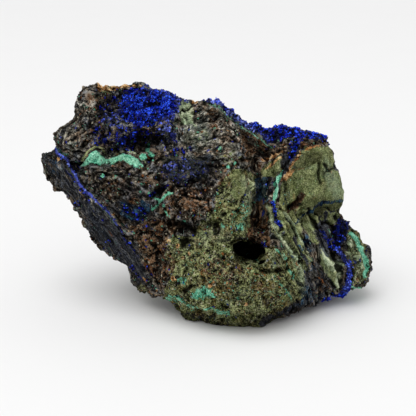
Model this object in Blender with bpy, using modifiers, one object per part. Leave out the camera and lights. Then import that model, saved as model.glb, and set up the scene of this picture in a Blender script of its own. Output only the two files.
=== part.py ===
"""A rough azurite and malachite specimen: one natural stone, grown and broken as one piece.

The stone is laid out as overlapping angular blocks, each the convex hull of its corners, because it
broke along flat fractures. They are fused into one skin, hollowed where the stone has pockets,
weathered, and ground flat underneath where it rests.

Axes: +X to the right, +Y to the back, +Z up. The origin is under the middle of the stone's box, on the
face that it rests on. Corners and hollows are in millimetres, and Blender works in metres.
"""

from math import radians

import bmesh
import bpy
from mathutils import Euler, Vector

MM = 0.001

# Driving sizes, in millimetres.
FUSE_STEP = 1.4
SKIN_STEP = 1.2
WEATHERING_PASSES = 3
WEATHERING = 0.5
COARSE_RELIEF = 2.4
COARSE_GRAIN = 9.0
FINE_RELIEF = 1.3
FINE_GRAIN = 3.6
RELIEF_MIDDLE = 0.4
FACET_SHARE = 0.14
BASE_HEIGHT = 0.0

STONE_COLOUR = (0.16, 0.17, 0.11, 1.0)
STONE_ROUGHNESS = 0.85

# The stone's blocks, each given by its corners.
BLOCKS = {
    "crown": [
        (-41, 7, 77), (-22, 8, 77), (-9, 9, 73), (-5, 10, 70), (-43, 4, 75),
        (-42, 0, 68), (-46, 5, 65), (-41, -3, 53), (-30, -3, 54), (-20, -6, 53), (-4, -6, 56),
        (-38, -6, 40), (-20, -9, 40), (-45, 15, 40), (-36, 28, 66),
        (-15, 34, 67), (-47, 24, 52), (-8, 38, 58), (-10, 30, 35),
    ],
    "crown_shoulder": [
        (-45, 7, 65), (-53, 7, 60), (-54, 6, 57), (-52, 4, 54), (-49, -1, 61), (-46, -3, 58),
        (-41, -4, 53), (-38, -2, 62), (-46, 0, 52), (-40, 10, 66), (-48, 22, 56), (-38, 20, 45),
    ],
    "left_slab": [
        (-58, 12, 50), (-59, 12, 46), (-53, 12, 37), (-49, 12, 33), (-56, 9, 52),
        (-50, 2, 53), (-46, -2, 47), (-39, -7, 38), (-35, -8, 31),
        (-51, 16, 53), (-52, 26, 42), (-43, 30, 31), (-40, 26, 48), (-42, 12, 33),
    ],
    "left_knob": [
        (-49, 13, 34), (-48, 12, 31), (-45, 11, 30), (-43, 4, 33), (-40, 10, 36), (-44, 22, 33),
    ],
    "left_flank": [
        (-46, 11, 31), (-43, 10, 26), (-39, 8, 19), (-34, 5, 15), (-28, 3, 13), (-36, -8, 36),
        (-28, -10, 27), (-25, -11, 22), (-22, -9, 14), (-34, 26, 26),
        (-24, 24, 13), (-40, 24, 34),
    ],
    "left_foot": [
        (-28, 2, 14), (-28, 0, 8), (-26, 0, 5), (-20, -5, 2), (-20, -10, 9),
        (-23, -10, 16), (-18, 14, 6), (-25, 12, 15), (-14, -15, 12), (-13, -11, 3),
    ],
    "front_face": [
        (-41, -2, 50), (-38, -6, 39), (-25, -12, 24), (-19, -10, 9), (-13, -11, 4),
        (-12, -17, 42), (-22, -13, 41), (-4, -8, 56), (-20, -6, 51), (7, -1, 61),
        (13, -5, 55), (2, -20, 37), (12, -8, 26), (-38, 20, 42), (-25, 28, 20),
        (10, 36, 45), (0, 34, 60), (15, 25, 20),
    ],
    "bulge": [
        (-14, -15, 27), (-16, -17, 15), (-9, -22, 18), (-13, -14, 3), (-5, -19, 0),
        (3, -24, -2), (10, -25, -2), (17, -25, -2), (21, -22, 0), (31, -11, 0),
        (31, -15, 8), (28, -23, 17), (18, -28, 14), (10, -31, 20), (0, -27, 21), (2, -22, 33),
        (21, -17, 28), (27, -18, 23), (0, 20, 4), (30, 15, 4), (20, 0, 31),
    ],
    "knob": [
        (6, -14, 50), (12, -12, 53), (17, -11, 47), (16, -15, 39), (8, -20, 43),
        (0, -20, 36), (5, -22, 33), (13, -17, 31), (8, -2, 40),
    ],
    "crest": [
        (-5, 10, 70), (-1, 10, 71), (2, 10, 71), (5, 10, 69), (10, 10, 65), (14, 12, 63),
        (21, 14, 60), (17, 2, 51), (13, -4, 56), (-4, -6, 57), (-3, 4, 64),
        (7, 0, 61), (0, 32, 61), (18, 34, 52), (10, 30, 40),
    ],
    "saddle": [
        (8, 13, 61), (21, 15, 58), (27, 17, 58), (28, 34, 50), (8, 36, 56),
        (12, 10, 44), (27, 10, 44), (12, 34, 38), (28, 34, 38),
    ],
    "right_block": [
        (21, 14, 60), (24, 15, 62), (27, 17, 61), (33, 17, 60), (38, 14, 59),
        (41, 11, 56), (26, 4, 55), (38, 5, 57), (19, 2, 50), (38, -3, 51),
        (42, 12, 53), (45, 10, 46), (47, 10, 42), (48, 10, 35), (46, 8, 31),
        (37, -4, 39), (27, -5, 37), (20, -2, 37), (41, 32, 50), (45, 28, 32),
        (22, 36, 52), (30, 36, 40),
    ],
    "drape": [
        (15, 3, 51), (21, 3, 52), (15, 1, 42), (21, 0, 41), (15, -3, 31), (21, -4, 30),
        (14, 22, 52), (23, 22, 52), (14, 22, 28), (23, 22, 28),
    ],
    "columns": [
        (17, -2, 44), (20, -2, 34), (27, -2, 30), (21, -10, 28), (30, -13, 18),
        (31, -13, 3), (36, -9, 0), (44, -3, 2), (41, 0, 24), (44, 4, 30),
        (36, 20, 5), (30, 24, 30), (45, 10, 10),
    ],
    "rib_near": [
        (17, -5, 41), (20, -4, 40), (20, -15, 29), (24, -13, 29), (26, -21, 20),
        (30, -17, 21), (28, -18, 8), (33, -14, 6), (26, -8, 12), (22, 0, 32),
    ],
    "rib_middle": [
        (22, -2, 38), (25, -5, 36), (28, -5, 35), (29, -11, 24), (33, -9, 23),
        (34, -13, 8), (38, -9, 5), (33, 0, 10), (28, 2, 30),
    ],
    "rib_far": [
        (31, -3, 31), (34, -2, 30), (36, -7, 16), (40, -5, 15), (40, -5, 4), (44, -2, 6), (38, 4, 18),
    ],
    "right_foot": [
        (44, 4, 31), (47, 10, 30), (50, 12, 26), (55, 12, 23), (59, 12, 15),
        (59, 10, 8), (56, 7, 3), (50, 4, -1), (45, 2, -2), (44, -3, 5), (42, 0, 22),
        (46, -2, 20), (50, 1, 24), (50, -3, 15), (50, -2, 8), (52, 24, 16), (44, 28, 10), (42, 28, 26),
    ],
    "back": [
        (-30, 34, 58), (-10, 40, 60), (15, 42, 50), (35, 38, 44), (40, 34, 20),
        (20, 40, 9), (-10, 38, 12), (-32, 32, 30), (0, 28, 1), (30, 26, 1), (0, 0, 30),
    ],
    "base": [
        (5, -21, -4), (19, -22, -4), (31, -12, -4), (44, 4, -4), (39, 23, -4),
        (2, 25, -4), (-10, 8, -4), (-8, -16, -4), (10, 5, 12),
        (5, -23, 2), (19, -24, 2), (32, -13, 2), (45, 3, 2), (40, 25, 2), (2, 26, 2),
        (-11, 8, 2), (-9, -17, 2),
    ],
}

# Ellipsoids cut into the stone: centre, half sizes, and turn about X, Y and Z in degrees.
HOLLOWS = {
    "azurite_pocket": ((-20, -1, 70), (15, 7, 6.5), (-20, 0, 0)),
    "pocket_shade": ((-18, -6, 58), (9, 7, 2.8), (0, -4, 0)),
    "deep_hole": ((12.2, -14, 25.4), (6.2, 14, 3.5), (-10, 20, 0)),
    "cave": ((17.5, -12, 37), (3.2, 11, 8), (0, -12, 0)),
    "valley": ((19, -3, 51), (2.2, 7, 8), (0, -8, 0)),
    "brow": ((-3, -22, 35), (8, 7, 2), (0, 12, 0)),
    "right_undercut": ((38, -5, 31.5), (8, 5, 2.6), (0, -12, 0)),
    "seam_notch": ((-52, 3, 53.5), (6, 6, 1.5), (0, 25, 20)),
}


def clear_scene():
    """Removes the objects of the scene that is open."""
    for existing in list(bpy.data.objects):
        bpy.data.objects.remove(existing)


def collection(name, hidden=False):
    """Makes a collection in the scene."""
    made = bpy.data.collections.new(name)
    made.hide_render = hidden
    bpy.context.scene.collection.children.link(made)
    return made


def add_hull(shape, corners):
    """Adds one block to a bmesh, as the convex hull of its corners."""
    points = [shape.verts.new(Vector(corner) * MM) for corner in corners]
    hull = bmesh.ops.convex_hull(shape, input=points)
    spare = {v for v in hull["geom_interior"] + hull["geom_unused"] if isinstance(v, bmesh.types.BMVert)}
    bmesh.ops.delete(shape, geom=list(spare), context="VERTS")


def block_mesh():
    """All the blocks as overlapping closed hulls in one mesh."""
    shape = bmesh.new()
    for corners in BLOCKS.values():
        add_hull(shape, corners)
    bmesh.ops.recalc_face_normals(shape, faces=shape.faces)
    mesh = bpy.data.meshes.new("azurite_specimen")
    shape.to_mesh(mesh)
    shape.free()
    return mesh


def cutter(name, mesh, home):
    """A hidden object that a Boolean takes away."""
    made = bpy.data.objects.new(name, mesh)
    made.hide_render = True
    made.display_type = "WIRE"
    home.objects.link(made)
    return made


def hollow_cutter(name, centre, half_sizes, turn, home):
    """An ellipsoid for one hollow."""
    shape = bmesh.new()
    bmesh.ops.create_icosphere(shape, subdivisions=4, radius=MM)
    bmesh.ops.scale(shape, vec=half_sizes, verts=shape.verts)
    mesh = bpy.data.meshes.new(name)
    shape.to_mesh(mesh)
    shape.free()
    made = cutter(name, mesh, home)
    made.location = Vector(centre) * MM
    made.rotation_euler = Euler([radians(angle) for angle in turn])
    return made


def add_remesh(stone, name, step):
    """Wraps the stone in one even skin."""
    modifier = stone.modifiers.new(name, "REMESH")
    modifier.mode = "VOXEL"
    modifier.voxel_size = step * MM


def add_cut(stone, other):
    """Takes another object away from the stone."""
    modifier = stone.modifiers.new(other.name, "BOOLEAN")
    modifier.operation = "DIFFERENCE"
    modifier.object = other


def add_relief(stone, name, grain, height):
    """Raises and lowers the skin by cloud noise of the given grain."""
    texture = bpy.data.textures.new(name, "CLOUDS")
    texture.noise_scale = grain * MM
    texture.noise_basis = "VORONOI_F2_F1"
    modifier = stone.modifiers.new(name, "DISPLACE")
    modifier.texture = texture
    modifier.texture_coords = "LOCAL"
    modifier.strength = height * MM
    modifier.mid_level = RELIEF_MIDDLE


def weather(stone):
    """Rounds the broken edges."""
    modifier = stone.modifiers.new("worn_edges", "SMOOTH")
    modifier.iterations = WEATHERING_PASSES
    modifier.factor = WEATHERING


def simplify(stone):
    """Leaves facets only where the surface turns."""
    modifier = stone.modifiers.new("facets", "DECIMATE")
    modifier.ratio = FACET_SHARE


def apply_modifiers(stone):
    """Makes the modified surface the stone's own mesh."""
    bpy.context.view_layer.update()
    graph = bpy.context.evaluated_depsgraph_get()
    mesh = bpy.data.meshes.new_from_object(stone.evaluated_get(graph))
    stone.modifiers.clear()
    stone.data = mesh


def keep_largest_body(stone):
    """Drops crumbs that a hollow cut free."""
    shape = bmesh.new()
    shape.from_mesh(stone.data)
    bodies = []
    left = set(shape.verts)
    while left:
        body = {left.pop()}
        edge = set(body)
        while edge:
            edge = {e.other_vert(v) for v in edge for e in v.link_edges} - body
            body |= edge
        left -= body
        bodies.append(body)
    main = max(bodies, key=len)
    bmesh.ops.delete(shape, geom=[v for v in shape.verts if v not in main], context="VERTS")
    bmesh.ops.triangulate(shape, faces=shape.faces)
    shape.to_mesh(stone.data)
    shape.free()


def grind_base(stone):
    """Cuts the underside off flat at the plane that the stone rests on."""
    shape = bmesh.new()
    shape.from_mesh(stone.data)
    everything = shape.verts[:] + shape.edges[:] + shape.faces[:]
    cut = bmesh.ops.bisect_plane(
        shape, geom=everything, plane_co=(0, 0, BASE_HEIGHT * MM), plane_no=(0, 0, 1), clear_inner=True
    )
    rim = [e for e in cut["geom_cut"] if isinstance(e, bmesh.types.BMEdge)]
    bmesh.ops.holes_fill(shape, edges=rim, sides=0)
    bmesh.ops.triangulate(shape, faces=shape.faces)
    bmesh.ops.recalc_face_normals(shape, faces=shape.faces)
    shape.to_mesh(stone.data)
    shape.free()


def centre_over_origin(stone):
    """Moves the mesh so that the middle of its box is over the origin."""
    xs, ys = zip(*((v.co.x, v.co.y) for v in stone.data.vertices))
    middle = Vector(((min(xs) + max(xs)) / 2, (min(ys) + max(ys)) / 2, 0))
    for vertex in stone.data.vertices:
        vertex.co -= middle


def stone_material():
    """Dull green and brown stone, with no shine."""
    material = bpy.data.materials.new("stone")
    material.use_nodes = True
    shader = material.node_tree.nodes["Principled BSDF"]
    shader.inputs["Base Color"].default_value = STONE_COLOUR
    shader.inputs["Roughness"].default_value = STONE_ROUGHNESS
    shader.inputs["Metallic"].default_value = 0.0
    return material


def build():
    """Makes the stone."""
    clear_scene()
    parts = collection("azurite_specimen")
    cutters = collection("cutters", hidden=True)
    stone = bpy.data.objects.new("azurite_specimen", block_mesh())
    parts.objects.link(stone)
    stone.data.materials.append(stone_material())
    add_remesh(stone, "fuse_blocks", FUSE_STEP)
    for name, (centre, half_sizes, turn) in HOLLOWS.items():
        add_cut(stone, hollow_cutter(name, centre, half_sizes, turn, cutters))
    add_remesh(stone, "even_skin", SKIN_STEP)
    weather(stone)
    add_relief(stone, "coarse_relief", COARSE_GRAIN, COARSE_RELIEF)
    add_relief(stone, "fine_relief", FINE_GRAIN, FINE_RELIEF)
    simplify(stone)
    apply_modifiers(stone)
    keep_largest_body(stone)
    grind_base(stone)
    centre_over_origin(stone)


build()
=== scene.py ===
"""Looks of a rough azurite and malachite stone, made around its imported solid.

The stone's own surface is remeshed finely, given the beads, ribs and chips of the real rock, and
painted with one attribute for each mineral. Crystals and grains are separate joined meshes, grown on
that surface by Geometry Nodes. Sizes are in millimetres unless a name says otherwise.
"""

from __future__ import annotations

import logging
import math
from dataclasses import dataclass, field
from enum import Enum

import bmesh
import bpy
import numpy as np
from mathutils import Matrix, Vector, noise
from mathutils.bvhtree import BVHTree
from mathutils.kdtree import KDTree

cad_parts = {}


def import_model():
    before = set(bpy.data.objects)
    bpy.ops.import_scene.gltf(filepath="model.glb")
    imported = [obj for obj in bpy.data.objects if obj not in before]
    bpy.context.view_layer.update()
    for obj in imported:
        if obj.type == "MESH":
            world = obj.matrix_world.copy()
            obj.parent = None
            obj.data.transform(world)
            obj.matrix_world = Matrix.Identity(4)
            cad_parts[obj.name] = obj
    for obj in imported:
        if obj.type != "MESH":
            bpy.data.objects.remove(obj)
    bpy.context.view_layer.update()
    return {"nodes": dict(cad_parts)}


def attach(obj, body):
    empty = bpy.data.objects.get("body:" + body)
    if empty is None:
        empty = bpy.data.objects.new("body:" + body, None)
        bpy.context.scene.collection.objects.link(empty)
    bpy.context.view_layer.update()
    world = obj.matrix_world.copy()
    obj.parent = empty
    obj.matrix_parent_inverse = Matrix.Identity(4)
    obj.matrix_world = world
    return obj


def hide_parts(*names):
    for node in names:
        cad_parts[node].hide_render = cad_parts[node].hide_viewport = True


LOG = logging.getLogger("azurite_specimen")

MM = 0.001
BODY = "root"
NODE = "azurite_specimen"
NOISE_SEED = 11

Pixel = tuple[float, float]
Array = np.ndarray


class Mineral(Enum):
    """What a stretch of the surface is made of or like. Each is painted as one attribute, from 0 to 1."""

    AZURITE = "azurite"
    MALACHITE = "malachite"
    SAGE = "sage"
    OLIVE = "olive"
    RUST = "rust"
    OCHRE = "ochre"
    ASH = "ash"
    INK = "ink"
    TEAL = "teal"
    CHALK = "chalk"
    # Painted shade: black painted in cracks, pits and at the bottoms of carved hollows.
    PIT_SHADE = "pit_shade"
    # Painted sheen, partly the crystals' own bright blue: azurite crystals are painted brighter where this is
    # high, as where they catch the light.
    GLOW = "blue_and_sheen"
    # Painted shade: a smooth darkening laid over hollows, undersides, the foot and other stretches in shade.
    PAINTED_SHADE = "painted_shade"
    # Painted highlight, partly a paler tone of some crusts: a smooth lightening laid where the rock and its
    # crystals catch the light, on tops, rims and lit faces.
    PALE_AND_HIGHLIGHT = "pale"


# --- The picture frame that the regions of the front are laid out in ---


@dataclass(frozen=True)
class ViewFrame:
    """A square picture frame and the camera behind it, in millimetres, degrees and pixels."""

    side: float = 416.0
    target: tuple[float, float, float] = (-0.42, -5.95, 35.0)
    elevation: float = 16.0
    distance: float = 326.0
    lens: float = 85.0
    sensor: float = 36.0

    @property
    def forward(self) -> Vector:
        """The way the camera looks."""
        tilt = math.radians(self.elevation)
        return Vector((0.0, math.cos(tilt), -math.sin(tilt)))

    @property
    def place(self) -> Vector:
        """Where the camera stands, in metres."""
        return (Vector(self.target) - self.forward * self.distance) * MM

    @property
    def pixels_per_slope(self) -> float:
        """Pixels for each unit of sideways slope."""
        return self.lens / self.sensor * self.side

    def project(self, points: Array) -> Array:
        """Finds where points fall in the frame.

        Args:
            points: Places in metres, one in each row.

        Returns:
            Pixel columns and rows, one pair in each row.
        """
        forward = np.array(self.forward)
        across = np.array((1.0, 0.0, 0.0))
        up = np.cross(across, forward)
        offset = points - np.array(self.place)
        depth = offset @ forward
        half = self.side / 2
        column = half + self.pixels_per_slope * (offset @ across) / depth
        row = half - self.pixels_per_slope * (offset @ up) / depth
        return np.stack((column, row), axis=1)

    def ray(self, pixel: Pixel) -> Vector:
        """The direction from the camera through a pixel.

        Args:
            pixel: A column and a row.

        Returns:
            The direction, one unit long.
        """
        across = Vector((1.0, 0.0, 0.0))
        up = across.cross(self.forward)
        half = self.side / 2
        slope = ((pixel[0] - half) / self.pixels_per_slope, (half - pixel[1]) / self.pixels_per_slope)
        return (self.forward + across * slope[0] + up * slope[1]).normalized()

    def camera(self) -> None:
        """Makes the camera and makes it the scene's own."""
        data = bpy.data.cameras.new("camera")
        data.lens = self.lens
        data.sensor_width = self.sensor
        made = bpy.data.objects.new("camera", data)
        made.location = self.place
        made.rotation_euler = self.forward.to_track_quat("-Z", "Y").to_euler()
        bpy.context.scene.collection.objects.link(made)
        bpy.context.scene.camera = made


VIEW = ViewFrame()


# --- Shapes in the frame, and what they paint or carve ---


def smooth_step(values: Array, low: float, high: float) -> Array:
    """Rises smoothly from 0 at low to 1 at high."""
    share = np.clip((values - low) / (high - low), 0.0, 1.0)
    return share * share * (3.0 - 2.0 * share)


def segment_distance(points: Array, start: Pixel, end: Pixel) -> Array:
    """Measures how far points are from a straight piece of a line.

    Args:
        points: Places in the frame, one in each row.
        start: Where the piece begins.
        end: Where it ends.

    Returns:
        A distance for each point.
    """
    base, along = np.array(start), np.array(end) - np.array(start)
    share = np.clip((points - base) @ along / max(float(along @ along), 1e-9), 0.0, 1.0)
    return np.linalg.norm(points - base - share[:, None] * along, axis=1)


def line_distance(points: Array, path: tuple[Pixel, ...]) -> Array:
    """Distance from each point to a line of straight pieces."""
    pieces = [segment_distance(points, start, end) for start, end in zip(path, path[1:])]
    return np.min(pieces, axis=0)


@dataclass(frozen=True)
class Area:
    """A closed outline in the frame, with a soft edge. A loose one is bent further by the ripple."""

    outline: tuple[Pixel, ...]
    feather: float = 3.0
    loose: float = 1.0

    def cover(self, pixels: Array) -> Array:
        """Finds how far pixels lie in the outline.

        Args:
            pixels: Columns and rows, one pair in each row.

        Returns:
            A share for each pixel, from 0 to 1.
        """
        inside = np.zeros(len(pixels), bool)
        x, y = pixels[:, 0], pixels[:, 1]
        closed = self.outline + self.outline[:1]
        for start, end in zip(closed, closed[1:]):
            rise = end[1] - start[1]
            if rise:
                crossing = start[0] + (y - start[1]) / rise * (end[0] - start[0])
                inside ^= ((start[1] > y) != (end[1] > y)) & (x < crossing)
        nearest = line_distance(pixels, closed)
        return smooth_step(np.where(inside, nearest, -nearest), -self.feather, self.feather)


@dataclass(frozen=True)
class Streak:
    """An open line in the frame, with a width and a soft edge."""

    path: tuple[Pixel, ...]
    width: float
    feather: float = 1.5
    loose: float = 0.4

    def cover(self, pixels: Array) -> Array:
        """How far each pixel lies in the streak, from 0 to 1."""
        return smooth_step(self.width / 2 - line_distance(pixels, self.path), -self.feather, self.feather)


@dataclass(frozen=True)
class Spots:
    """Round spots in the frame, each a column, a row and a radius."""

    spots: tuple[tuple[float, float, float], ...]
    feather: float = 1.2
    loose: float = 0.4

    def cover(self, pixels: Array) -> Array:
        """How far each pixel lies in a spot, from 0 to 1."""
        inside = [radius - np.hypot(*(pixels - (column, row)).T) for column, row, radius in self.spots]
        return smooth_step(np.max(inside, axis=0), -self.feather, self.feather)


Shape = Area | Streak | Spots


@dataclass(frozen=True)
class Paint:
    """A mineral over one named region. A negative strength takes away what came before it."""

    name: str
    shape: Shape
    strength: float = 1.0


@dataclass(frozen=True)
class Nudge:
    """A named region whose rock, front and back, is pushed by a vector in millimetres."""

    name: str
    shape: Shape
    push: tuple[float, float, float]


@dataclass(frozen=True)
class Carving:
    """A hollow pushed into the stone over one named region, and how black its bottom is painted, as painted
    shade.

    A negative depth raises a plate instead.
    """

    name: str
    shape: Shape
    depth: float
    # Painted shade: how black the hollow's bottom is painted.
    dark: float = 1.0


@dataclass(frozen=True)
class Bead:
    """A raised bead of rock or crust along a line of the frame, with its radius and lift in millimetres."""

    name: str
    path: tuple[Pixel, ...]
    radius: float
    lift: float = 0.0
    uneven: float = 0.25


@dataclass(frozen=True)
class Flow:
    """A named region whose rock is drawn out in one direction, in folds of a size and height.

    Sizes are in millimetres, and the stretch is how many times longer than wide the folds are.
    """

    name: str
    shape: Shape
    along: tuple[float, float, float]
    size: float
    stretch: float
    height: float


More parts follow.
